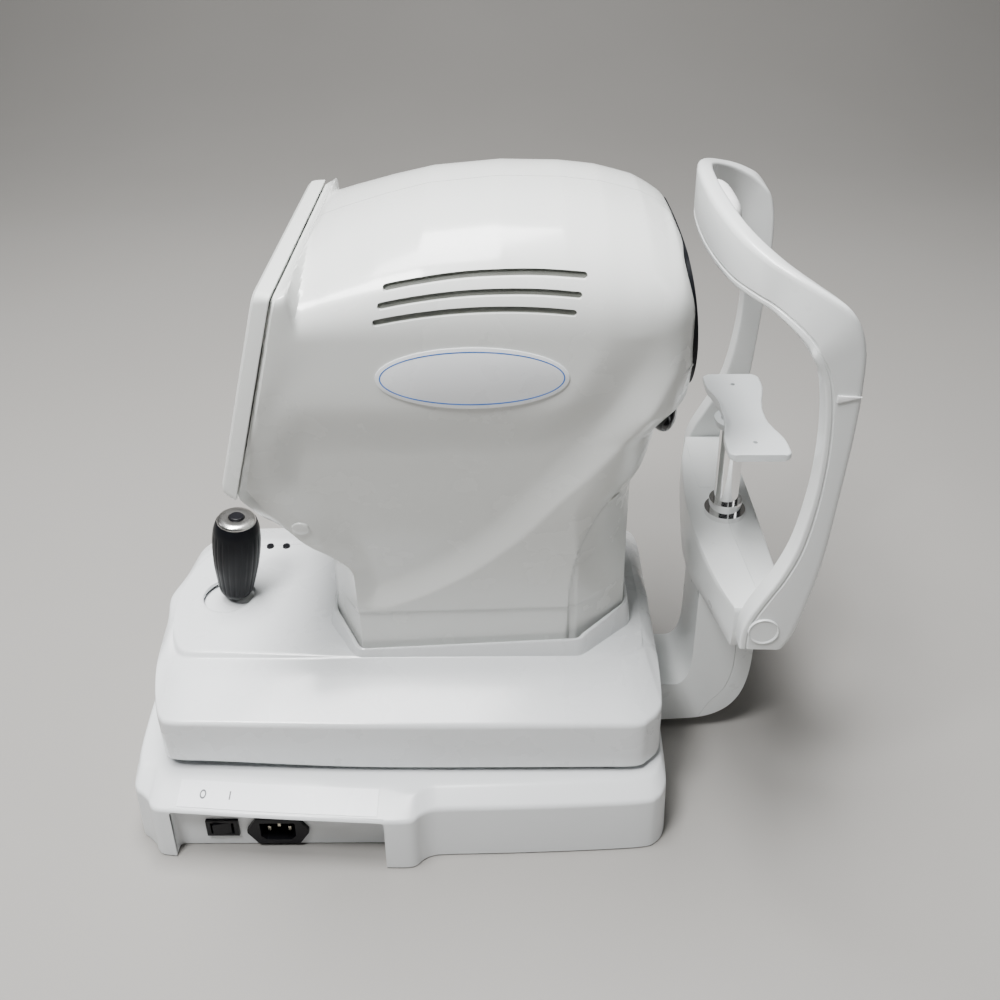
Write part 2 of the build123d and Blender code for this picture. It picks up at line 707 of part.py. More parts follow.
def make_paper_roll():
    """Roll of print paper on its spindle."""
    x = (PRINTER_X[0] + 8, PRINTER_X[1] - 12)
    roll = rod_x(PAPER_ROLL_Y, PAPER_ROLL_Z, x, PAPER_ROLL_RADIUS)
    return roll + rod_x(PAPER_ROLL_Y, PAPER_ROLL_Z, (PRINTER_X[0] - 1.8, PRINTER_X[1] + 1.8), 3.0)


def make_stage_frame():
    """Plate under the cover that hangs on the rods and carries the head's columns."""
    plate = slab(both_sides([(-205, -60), (-190, -92), (118, -92), (130, -60)]), *STAGE_FRAME_Z)
    plate -= rod_z(STICK_X, 0, (50, 70), 24)
    plate += rod_z(LIFT_SCREW_X, 0, (STAGE_FRAME_Z[1], 80), 14) - rod_z(LIFT_SCREW_X, 0, (50, 90), 4.06)
    for x, y in COVER_SCREW_POINTS:
        plate -= rod_z(x, y, (50, 70), 1.6)
    return plate - rod_z(LIFT_SCREW_X, 0, (50, 70), 4.06)


def make_slide_bushes():
    """Four bush blocks under the frame, two on each rod."""
    blocks = Part()
    for side_x in (-1, 1):
        for side_y in (-1, 1):
            x = AXLE_X + side_x * ROD_OFFSET_X
            y = side_y * BUSH_Y
            block = box((x - 8, x + 8), (y - 7, y + 7), (ROD_Z - 6.5, STAGE_FRAME_Z[0]))
            blocks += block - rod_y(x, ROD_Z, (-20, 20), ROD_RADIUS + 0.06)
    return blocks


def make_lift_columns():
    """Two guide columns for the head's rise and fall."""
    columns = Part()
    for x in (-58, 60):
        columns += rod_z(x, 0, (STAGE_FRAME_Z[1], 210), 7)
    return columns


def make_cover_screws():
    """Screws that hold the stage cover to the frame."""
    screws = Part()
    for x, y in COVER_SCREW_POINTS:
        screws += rod_z(x, y, (STAGE_FRAME_Z[0] - 2, STAGE_FRAME_Z[0]), 3)
        screws += rod_z(x, y, (STAGE_FRAME_Z[0] - 0.1, 74), 1.5)
    return screws


def make_cover_posts():
    """Posts inside the stage cover that the screws enter."""
    posts = Part()
    for x, y in COVER_SCREW_POINTS:
        posts += rod_z(x, y, (STAGE_FRAME_Z[1], 105), 4.5) - rod_z(x, y, (50, 80), 1.55)
    return posts


def make_lift_screw():
    """Lead screw that raises the head."""
    return rod_z(LIFT_SCREW_X, 0, (STAGE_FRAME_Z[1] + 1, 200), 4.0)


# ------------------------------------------------------------------ joystick

def leaned(piece):
    """Lean a piece, built upright on the pivot, to the stick's rest angle."""
    return Pos(STICK_X, 0, STICK_PIVOT_Z) * Rot(0, STICK_LEAN, 0) * piece


def make_gimbal_ring():
    """Ring between the stage frame and the stick, with its two pairs of pins."""
    ring = Cylinder(19, 5) - Cylinder(14, 6)
    ring += Rot(90, 0, 0) * Cylinder(1.5, 46) - Cylinder(14, 6)
    return leaned(ring - Rot(0, 90, 0) * Cylinder(1.26, 50))


def make_gimbal_seat():
    """Two brackets on the frame that hold the ring's pins."""
    seat = Part()
    for side in (-1, 1):
        y = (20, 27) if side > 0 else (-27, -20)
        seat += box((STICK_X - 5, STICK_X + 5), y, (STAGE_FRAME_Z[1], 73))
    return seat - rod_y(STICK_X, STICK_PIVOT_Z, (-30, 30), 1.56)


def make_joystick_shaft():
    """Shaft with the ball that rubs on the friction plate, and its cross pin."""
    shaft = Sphere(STICK_BALL_RADIUS)
    shaft += Cylinder(5, GRIP_FOOT + 8, align=(Align.CENTER, Align.CENTER, Align.MIN))
    shaft += Rot(0, 90, 0) * Cylinder(1.2, 35)
    return leaned(shaft)


def make_joystick_dome():
    """White dome that closes the hole in the deck at every tilt."""
    dome = Sphere(DOME_RADIUS) - Sphere(DOME_RADIUS - 1.6)
    dome &= Pos(0, 0, 36) * Cylinder(40, 40, align=(Align.CENTER, Align.CENTER, Align.MIN))
    dome -= Cylinder(5, 60, align=(Align.CENTER, Align.CENTER, Align.MIN))
    return leaned(dome)


def make_joystick_grip():
    """Rubber grip, fuller above its middle, bored for the shaft."""
    profile = [
        (5.06, GRIP_FOOT), (11.4, GRIP_FOOT), (12.4, GRIP_FOOT + 3), (15.8, GRIP_FOOT + 24),
        (17.4, GRIP_FOOT + 42), (17.2, GRIP_FOOT + 52), (15.6, GRIP_FOOT + 62), (14.4, GRIP_FOOT + 64.5),
        (14.0, GRIP_FOOT + 64.5), (14.0, GRIP_FOOT + 58), (5.06, GRIP_FOOT + 58),
    ]
    face = Plane.XZ * make_face(Polyline(*profile, close=True))
    return leaned(revolve(face, Axis.Z))


def make_joystick_cap():
    """Bright ring let into the grip's top, round the measuring button."""
    cap = Pos(0, 0, GRIP_FOOT + 58) * Cylinder(14, 8, align=(Align.CENTER, Align.CENTER, Align.MIN))
    cap += Pos(0, 0, GRIP_FOOT + 66) * Cylinder(11.5, 1.6, align=(Align.CENTER, Align.CENTER, Align.MIN))
    cap -= Pos(0, 0, GRIP_FOOT + 60.5) * Cylinder(5.4, 12, align=(Align.CENTER, Align.CENTER, Align.MIN))
    return leaned(cap)


def make_joystick_button():
    """Push-button that starts a measurement."""
    button = Pos(0, 0, GRIP_FOOT + 62.5) * Cylinder(5.1, 6.2, align=(Align.CENTER, Align.CENTER, Align.MIN))
    return leaned(button)


def make_chin_button(x):
    """Small push-button in the deck, with a stop flange under it."""
    button = rod_z(x, CHIN_BUTTON_Y, (106, STAGE_DECK_Z + 1.2), 2.8)
    return button + rod_z(x, CHIN_BUTTON_Y, (104, 106.5), 3.8)


# ------------------------------------------------------------------ measuring head

def head_solid(inset=0.0):
    """Head and neck in one form: side view, front view and plan cut one another."""
    side = [
        (-86, NECK_BOTTOM_Z), (-86, 190), (-98, 206), (-113, 217), (-119, 240), MONITOR_FOOT,
        MONITOR_TOP, (-84, 411), (-62, 419), (-10, 434), (33, HEAD_CREST_Z), (90, 434), (128, 425),
        (143, 408), (150, 380), (152, 350), (150, 316), (135, 300), (126, 266), (117, 248),
        (117, NECK_BOTTOM_Z),
    ]
    front_half = [
        (-NECK_HALF_Y, NECK_BOTTOM_Z), (-NECK_HALF_Y, 145), (-70, 200), (-84, 250), (-94, 300), (-97.5, 345),
        (-HEAD_HALF_Y, 375), (-95, 398), (-87, 413), (-70, 425), (-40, 434), (0, HEAD_CREST_Z),
    ]
    front = front_half + [(-y, z) for y, z in reversed(front_half[:-1])]
    plan = both_sides([(-130, -60), (-130, -99), (110, -99), (130, -88), (145, -66), (152, -30)])
    form = inset_prism(side, Plane.XZ, inset) & inset_prism(front, Plane.YZ, inset)
    form = form & inset_prism(plan, Plane.XY, inset, 600)
    return form & neck_envelope(inset)


def neck_envelope(inset=0.0):
    """Neck's eight-sided column, which opens out above it into the head."""
    wide = both_sides([(-150, -90), (-120, -125), (140, -125), (170, -90)])
    column = slab(neck_plan(-inset), NECK_BOTTOM_Z + inset, 165)
    flare = [Plane.XY.offset(165) * make_face(Polyline(*neck_plan(-inset), close=True))]
    flare.append(Plane.XY.offset(235) * make_face(Polyline(*wide, close=True)))
    return column + loft(flare, ruled=True) + slab(wide, 235, 480)


def inset_prism(points, plane, inset, length=REACH):
    """Outline shrunk evenly by the inset, extruded both ways."""
    face = make_face(Polyline(*points, close=True))
    if inset:
        face = offset(face, amount=-inset, kind=Kind.INTERSECTION)
    return extrude(plane * face, amount=length, both=True)


def front_opening(grow=0.0):
    """Outline, in YZ, of the opening on the patient side."""
    points = [(-62, 318), (-78, 345), (-80, 385), (-66, 408), (66, 408), (80, 385), (78, 345), (62, 318)]
    face = make_face(Polyline(*points, close=True))
    if grow:
        face = offset(face, amount=grow, kind=Kind.INTERSECTION)
    return face


def make_head_shell(side):
    """One half of the head's casing, split on the middle plane."""
    shell = head_solid() - head_solid(WALL)
    shell -= box((-200, 200), (-58, 58), (90, NECK_BOTTOM_Z + WALL + 1))
    shell -= prism(screen_corners(), Plane.XZ, 70)
    shell -= extrude(Plane.YZ.offset(120) * front_opening(), amount=60)
    half = (-120, -0.05) if side < 0 else (0.05, 120)
    shell &= box((-200, 200), half, (80, 460))
    for z in VENT_Z:
        shell -= vent(z)
    for x, z in PLUG_POINTS:
        shell -= rod_y(x, z, (-120, 120), PLUG_RADIUS - 1.2)
    return shell


def screen_corners():
    """Side view of the hole behind the monitor."""
    return [(-140, 285), (-104, 288), (-78, 388), (-110, 392)]


def vent(z):
    """One ventilation slot through both sides, gently arched along X."""
    half = 54.0
    rise = 4.0
    arch = ThreePointArc(
        (VENT_CENTRE_X - half, z - rise - 3),
        (VENT_CENTRE_X + 8, z + rise),
        (VENT_CENTRE_X + half, z + 1),
    )
    lower = ThreePointArc(
        (VENT_CENTRE_X + half, z - 2.2),
        (VENT_CENTRE_X + 8, z + rise - 3.2),
        (VENT_CENTRE_X - half, z - rise - 6.2),
    )
    ends = [Line(arch @ 1, lower @ 0), Line(lower @ 1, arch @ 0)]
    face = Plane.XZ * make_face([arch, lower] + ends)
    return extrude(face, amount=150, both=True) - box((-200, 200), (-70, 70), (300, 460))


def monitor_plane(offset_out=0.0):
    """Plane of the monitor's face: origin mid-way, X along its width, normal to the operator."""
    top, foot = Vector(MONITOR_TOP[0], 0, MONITOR_TOP[1]), Vector(MONITOR_FOOT[0], 0, MONITOR_FOOT[1])
    centre = (top + foot) * 0.5
    up = (top - foot).normalized()
    across = Vector(0, -1, 0)
    normal = across.cross(up)
    return Plane(origin=centre + normal * offset_out, x_dir=across, z_dir=normal)


def monitor_height():
    """Length of the monitor's face down its slope."""
    return math.hypot(MONITOR_TOP[0] - MONITOR_FOOT[0], MONITOR_TOP[1] - MONITOR_FOOT[1])


def make_monitor_bezel():
    """Frame of the monitor, tapered towards the operator, with the screen's window."""
    width, height = 2 * MONITOR_HALF_Y, monitor_height()
    frame = extrude(monitor_plane() * Rectangle(width, height), amount=BEZEL_THICKNESS, taper=14)
    window = monitor_plane(-1) * Rectangle(SCREEN_SIZE[0], SCREEN_SIZE[1])
    frame -= extrude(window, amount=BEZEL_THICKNESS + 4)
    return frame - extrude(monitor_plane(-1) * Rectangle(165, 117), amount=6.6)


def make_lcd_screen():
    """Screen module behind the bezel's window."""
    return extrude(monitor_plane(0.1) * Rectangle(164, 116), amount=5.4)


def make_front_panel():
    """Dark panel on the patient side, cut out for the measuring window."""
    body = (head_solid(WALL + 0.6) - head_solid(WALL + 3.4)) & extrude(
        Plane.YZ.offset(120) * front_opening(5), amount=60)
    rim = head_solid(0.8) - head_solid(WALL + 3.4)
    body += rim & extrude(Plane.YZ.offset(120) * front_opening(-1.4), amount=60)
    return body - rod_x(0, OPTICS_Z, (100, 170), 26)


def make_front_gasket():
    """Black gasket in the joint between the casing and the front panel."""
    ring = extrude(Plane.YZ.offset(120) * front_opening(-0.1), amount=60)
    ring -= extrude(Plane.YZ.offset(119) * front_opening(-1.3), amount=62)
    return ring & (head_solid(0.4) - head_solid(WALL))


def make_kerato_ring():
    """Ring of lit targets round the measuring window."""
    ring = rod_x(0, OPTICS_Z, (138, 149), 25.8) - rod_x(0, OPTICS_Z, (137, 150), 11.2)
    for radius in (15, 20):
        ring -= rod_x(0, OPTICS_Z, (147.8, 150), radius + 1) - rod_x(0, OPTICS_Z, (147, 151), radius - 1)
    return ring


def make_window_lens():
    """Front lens in the middle of the target ring."""
    lens = rod_x(0, OPTICS_Z, (136.2, 144), 11.0)
    return fillet(lens.edges().sort_by(Axis.X)[-1], 3)


def make_objective_barrel():
    """Tube with the objective and relay lenses."""
    barrel = rod_x(0, OPTICS_Z, (20, 136), 18) - rod_x(0, OPTICS_Z, (24, 137), 15)
    return barrel


def make_optical_bench():
    """Plate that carries the optics on three posts above the lift block."""
    bench = box((-60, 125), (-50, 50), (300, 306))
    for x in (-40, 110):
        bench += box((x - 4, x + 4), (-22, 22), (305, 342))
    bench -= rod_x(0, OPTICS_Z, (-70, 130), 18.0)
    return bench


def make_camera_module():
    """Sensor block behind the objective tube."""
    block = box((-32, 20), (-26, 26), (306, 386))
    return fillet(block.edges().filter_by(Axis.Z), 4)


def make_lift_block():
    """Casting in the neck: bushes on the columns, the screw's nut and four arms to the bench."""
    block = box((-74, 78), (-24, 24), (180, 206))
    for x in (-58, 60):
        block -= rod_z(x, 0, (170, 260), 7.06)
    block -= rod_z(LIFT_SCREW_X, 0, (170, 210), 4.06)
    for x in (-36, 100):
        block += box((x - 6, x + 6), (-20, 20), (200, 300))
    return block + box((60, 106), (-20, 20), (200, 210)) - rod_z(60, 0, (170, 240), 7.06)


def make_plug_caps():
    """Round caps over the casing's side screws."""
    caps = Part()
    for (x, z), half in zip(PLUG_POINTS, PLUG_HALF_Y):
        for side in (-1, 1):
            y = (half - 3, half + 0.6) if side > 0 else (-half - 0.6, -half + 3)
            caps += rod_y(x, z, y, PLUG_RADIUS - 1.3)
    return caps


def make_side_badge(side):
    """Blank oval plate on the head's side."""
    x, z = BADGE_AT
    oval = Ellipse(BADGE_SIZE[0] / 2, BADGE_SIZE[1] / 2)
    y = HEAD_HALF_Y
    start = y if side > 0 else -y
    plate = extrude(Plane.XZ.offset(-start) * (Pos(x, z) * oval), amount=-1.0 * side)
    return plate


def build_parts():
    """Every node of the assembly, by name."""
    head_badges = make_side_badge(-1) + make_side_badge(1)
    return {
        "base_cover": make_base_cover() + make_cover_pillars(),
        "base_plate": make_base_plate(),
        "rubber_feet": make_rubber_feet(),
        "base_screws": make_base_screws(),
        "rack_rails": make_rack_rails(),
        "friction_plate": make_friction_plate(),
        "power_inlet": make_power_inlet(),
        "inlet_pins": make_inlet_pins(),
        "switch_frame": make_switch_frame(),
        "power_rocker": make_power_rocker(),
        "port_label": make_port_label(),
        "power_supply": make_power_supply(),
        "neck_shell": make_neck_shell(),
        "neck_cover": make_neck_cover(),
        "chin_bar": make_chin_bar(),
        "bar_cover": make_bar_cover(),
        "chin_collar": make_chin_collar(),
        "chin_gearmotor": make_chin_gearmotor(),
        "forehead_frame": make_forehead_frame(),
        "forehead_pad": make_forehead_pad(),
        "frame_caps": make_frame_caps(),
        "frame_screws": make_frame_screws(),
        "eye_marks": make_eye_marks(),
        "chin_screw": make_chin_screw(),
        "chin_post": make_chin_post(),
        "chin_plate": make_chin_plate(),
        "carriage_frame": make_carriage_frame(),
        "cross_rods": make_cross_rods(),
        "cross_axle": make_cross_axle(),
        "stage_frame": make_stage_frame() + make_gimbal_seat(),
        "stage_cover": make_stage_cover() + make_cover_posts(),
        "cover_screws": make_cover_screws(),
        "slide_bushes": make_slide_bushes(),
        "lift_columns": make_lift_columns(),
        "gimbal_ring": make_gimbal_ring(),
        "joystick_shaft": make_joystick_shaft(),
        "joystick_dome": make_joystick_dome(),
        "joystick_grip": make_joystick_grip(),
        "joystick_cap": make_joystick_cap(),
        "joystick_button": make_joystick_button(),
        "chin_up_button": make_chin_button(CHIN_BUTTON_X[0]),
        "chin_down_button": make_chin_button(CHIN_BUTTON_X[1]),
        "printer_case": make_printer_case(),
        "printer_door": make_printer_door(),
        "paper_roll": make_paper_roll(),
        "lift_screw": make_lift_screw(),
        "head_shell_right": make_head_shell(-1),
        "head_shell_left": make_head_shell(1),
        "monitor_bezel": make_monitor_bezel(),
        "lcd_screen": make_lcd_screen(),
        "front_panel": make_front_panel(),
        "front_gasket": make_front_gasket(),
        "kerato_ring": make_kerato_ring(),
        "window_lens": make_window_lens(),
        "objective_barrel": make_objective_barrel(),
        "camera_module": make_camera_module(),
        "optical_bench": make_optical_bench(),
        "lift_block": make_lift_block(),
        "plug_caps": make_plug_caps(),
        "side_badges": head_badges,
    }


os.makedirs("parts", exist_ok=True)
for name, shape in build_parts().items():
    export_step(shape, f"parts/{name}.step")
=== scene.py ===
"""Looks of a table-top autorefractor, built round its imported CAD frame.

Every sub-assembly is a class. It models its visible pieces in millimetres with bmesh, and a Workshop
turns them into pieces in metres, dresses them and lets them ride on the frame's bodies.
"""

import json
import logging
import math
from dataclasses import dataclass, field
from enum import Enum

import bmesh
import bpy
from mathutils import Matrix, Vector

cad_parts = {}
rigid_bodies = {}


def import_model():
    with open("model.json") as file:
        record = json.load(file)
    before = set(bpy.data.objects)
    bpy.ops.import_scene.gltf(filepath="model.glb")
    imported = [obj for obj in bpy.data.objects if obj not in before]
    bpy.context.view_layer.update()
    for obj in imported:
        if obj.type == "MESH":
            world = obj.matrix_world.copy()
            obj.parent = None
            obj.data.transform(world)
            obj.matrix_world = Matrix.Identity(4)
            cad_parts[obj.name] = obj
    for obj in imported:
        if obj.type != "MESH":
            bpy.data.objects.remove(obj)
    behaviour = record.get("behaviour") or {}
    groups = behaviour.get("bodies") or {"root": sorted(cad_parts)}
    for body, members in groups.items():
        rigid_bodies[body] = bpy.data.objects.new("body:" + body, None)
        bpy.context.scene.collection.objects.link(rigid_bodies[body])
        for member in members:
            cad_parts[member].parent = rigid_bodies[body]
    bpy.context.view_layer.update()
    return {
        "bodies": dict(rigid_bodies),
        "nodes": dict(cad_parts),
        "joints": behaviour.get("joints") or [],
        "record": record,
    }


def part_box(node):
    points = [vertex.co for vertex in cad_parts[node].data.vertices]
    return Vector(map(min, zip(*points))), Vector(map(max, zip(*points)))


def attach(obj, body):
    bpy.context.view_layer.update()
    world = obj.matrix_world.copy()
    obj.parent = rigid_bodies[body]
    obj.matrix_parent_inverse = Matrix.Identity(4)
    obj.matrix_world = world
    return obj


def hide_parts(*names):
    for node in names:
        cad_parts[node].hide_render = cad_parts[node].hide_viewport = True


LOG = logging.getLogger("autorefractor")
MM = 0.001
Point = tuple[float, ...]


class Smooth(Enum):
    """Angle in degrees above which an edge stays crisp."""

    SOFT = 60.0
    PLAIN = 35.0
    CRISP = 20.0


# ---------------------------------------------------------------- shader maths

class Value:
    """One number that changes over a surface; Python's operators on it add Math nodes."""

    def __init__(self, graph: "Graph", socket: bpy.types.NodeSocket) -> None:
        """Keep the graph and the socket that gives the number."""
        self.graph = graph
        self.socket = socket

    def _join(self, operation: str, first: object, second: object) -> "Value":
        """Add one Math node on two inputs."""
        node = self.graph.node("ShaderNodeMath", {"operation": operation}, {0: first, 1: second})
        return Value(self.graph, node.outputs[0])

    def __add__(self, other: object) -> "Value":
        """Sum."""
        return self._join("ADD", self, other)

    def __radd__(self, other: object) -> "Value":
        """Sum, with the number first."""
        return self._join("ADD", other, self)

    def __sub__(self, other: object) -> "Value":
        """Difference."""
        return self._join("SUBTRACT", self, other)

    def __rsub__(self, other: object) -> "Value":
        """Difference, with the number first."""
        return self._join("SUBTRACT", other, self)

    def __mul__(self, other: object) -> "Value":
        """Product."""
        return self._join("MULTIPLY", self, other)

    def __rmul__(self, other: object) -> "Value":
        """Product, with the number first."""
        return self._join("MULTIPLY", other, self)


class Graph:
    """Node tree of one material, with short ways to add what the finishes need."""

    def __init__(self, name: str) -> None:
        """Start a material with its Principled shader alone."""
        self.material = bpy.data.materials.new(name)
        self.material.use_nodes = True
        self.tree = self.material.node_tree
        self.shader = self.tree.nodes["Principled BSDF"]

    def node(self, kind: str, settings: dict[str, object], inputs: dict[object, object]) -> bpy.types.Node:
        """Add one node.

        Args:
            kind: The node's type.
            settings: Properties such as a Math node's operation, set first.
            inputs: Values or links of its sockets, by name or number.

        Returns:
            The new node.
        """
        made = self.tree.nodes.new(kind)
        for name, value in settings.items():
            if name == "stops":
                self._stops(made, value)
            else:
                setattr(made, name, value)
        for key, value in inputs.items():
            self.feed(made.inputs[key], value)
        return made

    def _stops(self, ramp: bpy.types.Node, stops: list[tuple[float, float]]) -> None:
        """Give a ramp its grey stops."""
        elements = ramp.color_ramp.elements
        while len(elements) < len(stops):
            elements.new(0.5)
        for element, (place, grey) in zip(elements, stops):
            element.position = place
            element.color = (grey, grey, grey, 1.0)

    def feed(self, socket: bpy.types.NodeSocket, value: object) -> None:
        """Link or set one input socket."""
        if isinstance(value, Value):
            value = value.socket
        if isinstance(value, bpy.types.NodeSocket):
            self.tree.links.new(value, socket)
        else:
            socket.default_value = value

    def place(self, stretch: Point = (1.0, 1.0, 1.0)) -> bpy.types.NodeSocket:
        """Object coordinates in metres, stretched along each axis."""
        where = self.node("ShaderNodeTexCoord", {}, {}).outputs["Object"]
        return self.node("ShaderNodeMapping", {}, {"Vector": where, "Scale": stretch}).outputs[0]

    def noise(self, size_mm: float, detail: float = 3.0, stretch: Point = (1.0, 1.0, 1.0)) -> Value:
        """Noise whose patches measure about that many millimetres."""
        inputs = {"Vector": self.place(stretch), "Scale": 1.0 / (size_mm * MM), "Detail": detail}
        return Value(self, self.node("ShaderNodeTexNoise", {}, inputs).outputs[0])

    def ramp(self, value: Value, stops: list[tuple[float, float]]) -> Value:
        """Value through a ramp of greys."""
        return Value(self, self.node("ShaderNodeValToRGB", {"stops": stops}, {0: value}).outputs[0])

    def blend(self, share: object, first: object, second: object) -> bpy.types.NodeSocket:
        """Mix two colours by a share."""
        mix = self.node("ShaderNodeMix", {"data_type": "RGBA"}, {0: share, 6: first, 7: second})
        return mix.outputs[2]

    def bump(self, height: Value, depth_mm: float) -> None:
        """Let a height shape the normal."""
        inputs = {"Height": height, "Distance": depth_mm * MM, "Strength": 1.0}
        self.feed(self.shader.inputs["Normal"], self.node("ShaderNodeBump", {}, inputs).outputs[0])

    def set(self, **inputs: object) -> None:
        """Set the shader's sockets; an underscore in a name stands for a space."""
        for name, value in inputs.items():
            self.feed(self.shader.inputs[name.replace("_", " ")], value)


def tone(red: float, green: float, blue: float) -> Point:
    """Colour with full alpha."""
    return (red, green, blue, 1.0)


def shade(colour: Point, factor: float) -> Point:
    """Same colour, darker or lighter."""
    return tone(*(min(1.0, part * factor) for part in colour[:3]))


# ---------------------------------------------------------------- finishes

@dataclass(frozen=True)
class Moulding:
    """Painted or moulded plastic: faint mottling, orange peel and a worn gloss."""

    name: str
    colour: Point
    roughness: float = 0.3
    coat: float = 0.35
    peel_mm: float = 1.6
    peel_depth_mm: float = 0.004
    mottle: float = 0.014

    def material(self) -> bpy.types.Material:
        """Build the material."""
        graph = Graph(self.name)
        patches = graph.noise(70.0, 4.0)
        specks = graph.ramp(graph.noise(1.1, 2.0), [(0.68, 0.0), (0.76, 1.0)])
        dark, pale = shade(self.colour, 1.0 - self.mottle), shade(self.colour, 1.0 + self.mottle)
        light = graph.blend(patches, dark, pale)
        colour = graph.blend(specks * 0.12, light, shade(self.colour, 0.7))
        dust = graph.noise(28.0, 5.0)
        graph.set(Base_Color=colour, Roughness=self.roughness + (dust - 0.5) * 0.16)
        graph.set(Coat_Weight=self.coat, Coat_Roughness=0.12, IOR=1.5)
        graph.bump(graph.noise(self.peel_mm, 2.0) + graph.noise(9.0, 1.0) * 1.5, self.peel_depth_mm)
        return graph.material


@dataclass(frozen=True)
class Texture:
    """Matte plastic or rubber with a fine spark-eroded grain."""

    name: str
    colour: Point
    roughness: float = 0.55
    grain_mm: float = 0.5
    grain_depth_mm: float = 0.03
    shine: float = 0.3

    def material(self) -> bpy.types.Material:
        """Build the material."""
        graph = Graph(self.name)
        grain = graph.noise(self.grain_mm, 3.0)
        wear = graph.noise(14.0, 4.0)
        colour = graph.blend(wear, shade(self.colour, 0.8), shade(self.colour, 1.35))
        graph.set(Base_Color=colour, Roughness=self.roughness + (wear - 0.5) * 0.2)
        graph.set(Specular_IOR_Level=self.shine)
        graph.bump(grain, self.grain_depth_mm)
        return graph.material


@dataclass(frozen=True)
class Metal:
    """Polished, ground or sheet metal; the streaks run along the axis with the smallest stretch."""

    name: str
    colour: Point
    roughness: float = 0.2
    stretch: Point = (1.0, 1.0, 1.0)
    streak_mm: float = 1.2
    depth_mm: float = 0.006

    def material(self) -> bpy.types.Material:
        """Build the material."""
        graph = Graph(self.name)
        streaks = graph.noise(self.streak_mm, 4.0, self.stretch)
        smudge = graph.noise(22.0, 3.0)
        colour = graph.blend(smudge, shade(self.colour, 0.9), shade(self.colour, 1.06))
        graph.set(Base_Color=colour, Metallic=1.0)
        graph.set(Roughness=self.roughness + (smudge - 0.5) * 0.12 + (streaks - 0.5) * 0.05)
        graph.bump(streaks, self.depth_mm)
        return graph.material


@dataclass(frozen=True)
class Panel:
    """Very smooth dark or printed panel with faint fingermarks."""

    name: str
    colour: Point
    roughness: float = 0.08

    def material(self) -> bpy.types.Material:
        """Build the material."""
        graph = Graph(self.name)
        marks = graph.ramp(graph.noise(16.0, 5.0), [(0.45, 0.0), (0.75, 1.0)])
        graph.set(Base_Color=graph.blend(marks * 0.3, self.colour, shade(self.colour, 1.25)))
        graph.set(Roughness=self.roughness + marks * 0.14, Coat_Weight=0.5, Coat_Roughness=0.05)
        graph.bump(graph.noise(5.0, 2.0), 0.002)
        return graph.material


@dataclass(frozen=True)
class Lens:
    """Coated glass, seen as a deep blue-green disc."""

    name: str

    def material(self) -> bpy.types.Material:
        """Build the material."""
        graph = Graph(self.name)
        sheen = graph.noise(9.0, 2.0)
        colour = graph.blend(sheen, tone(0.01, 0.025, 0.05), tone(0.03, 0.02, 0.07))
        graph.set(Base_Color=colour, Roughness=0.03 + sheen * 0.04, Coat_Weight=1.0, IOR=1.6)
        return graph.material


WHITE = tone(0.76, 0.775, 0.755)
BASE_WHITE = tone(0.77, 0.79, 0.80)
FINISHES = [
    Moulding("head_white", WHITE, 0.26, 0.5),
    Moulding("base_white", BASE_WHITE, 0.34, 0.25, 0.9, 0.008),
    Moulding("stage_white", BASE_WHITE, 0.28, 0.4),
    Moulding("arm_white", tone(0.77, 0.79, 0.785), 0.3, 0.35),
    Moulding("chin_white", tone(0.78, 0.81, 0.82), 0.32, 0.3),
    Moulding("label_white", tone(0.90, 0.92, 0.94), 0.28, 0.2, 0.7, 0.002, 0.01),
    Texture("pad_white", tone(0.74, 0.75, 0.74), 0.5, 0.7, 0.04),
    Texture("mark_grey", tone(0.78, 0.79, 0.79), 0.4),
    Texture("grip_rubber", tone(0.004, 0.0045, 0.006), 0.36, 0.45, 0.03, 0.14),
    Texture("black_plastic", tone(0.008, 0.008, 0.01), 0.34, 0.5, 0.03, 0.2),
    Texture("inner_black", tone(0.03, 0.03, 0.033), 0.5),
    Texture("vent_grey", tone(0.13, 0.135, 0.12), 0.6, 0.8, 0.2),
    Texture("plate_grey", tone(0.36, 0.365, 0.37), 0.42, 0.6, 0.02),
    Texture("ink_grey", tone(0.1, 0.1, 0.11), 0.5),
    Texture("ink_blue", tone(0.03, 0.16, 0.55), 0.4),
    Texture("paper", tone(0.86, 0.86, 0.84), 0.8, 0.25, 0.02),
    Metal("chrome", tone(0.86, 0.86, 0.86), 0.1),
    Metal("cap_metal", tone(0.88, 0.87, 0.85), 0.26, (1.0, 1.0, 0.2), 0.5),
    Metal("ground_steel", tone(0.55, 0.55, 0.56), 0.3, (1.0, 0.08, 1.0)),
    Metal("plate_steel", tone(0.5, 0.51, 0.52), 0.42, (0.1, 1.0, 1.0), 2.0),
    Metal("cast_alloy", tone(0.62, 0.63, 0.64), 0.45, (1.0, 1.0, 1.0), 1.0, 0.03),
    Metal("bronze", tone(0.62, 0.42, 0.2), 0.35),
    Metal("nickel", tone(0.75, 0.7, 0.58), 0.25),
    Panel("screen_glass", tone(0.006, 0.007, 0.009), 0.06),
    Panel("front_black", tone(0.01, 0.01, 0.012), 0.12),
    Lens("lens_glass"),
]

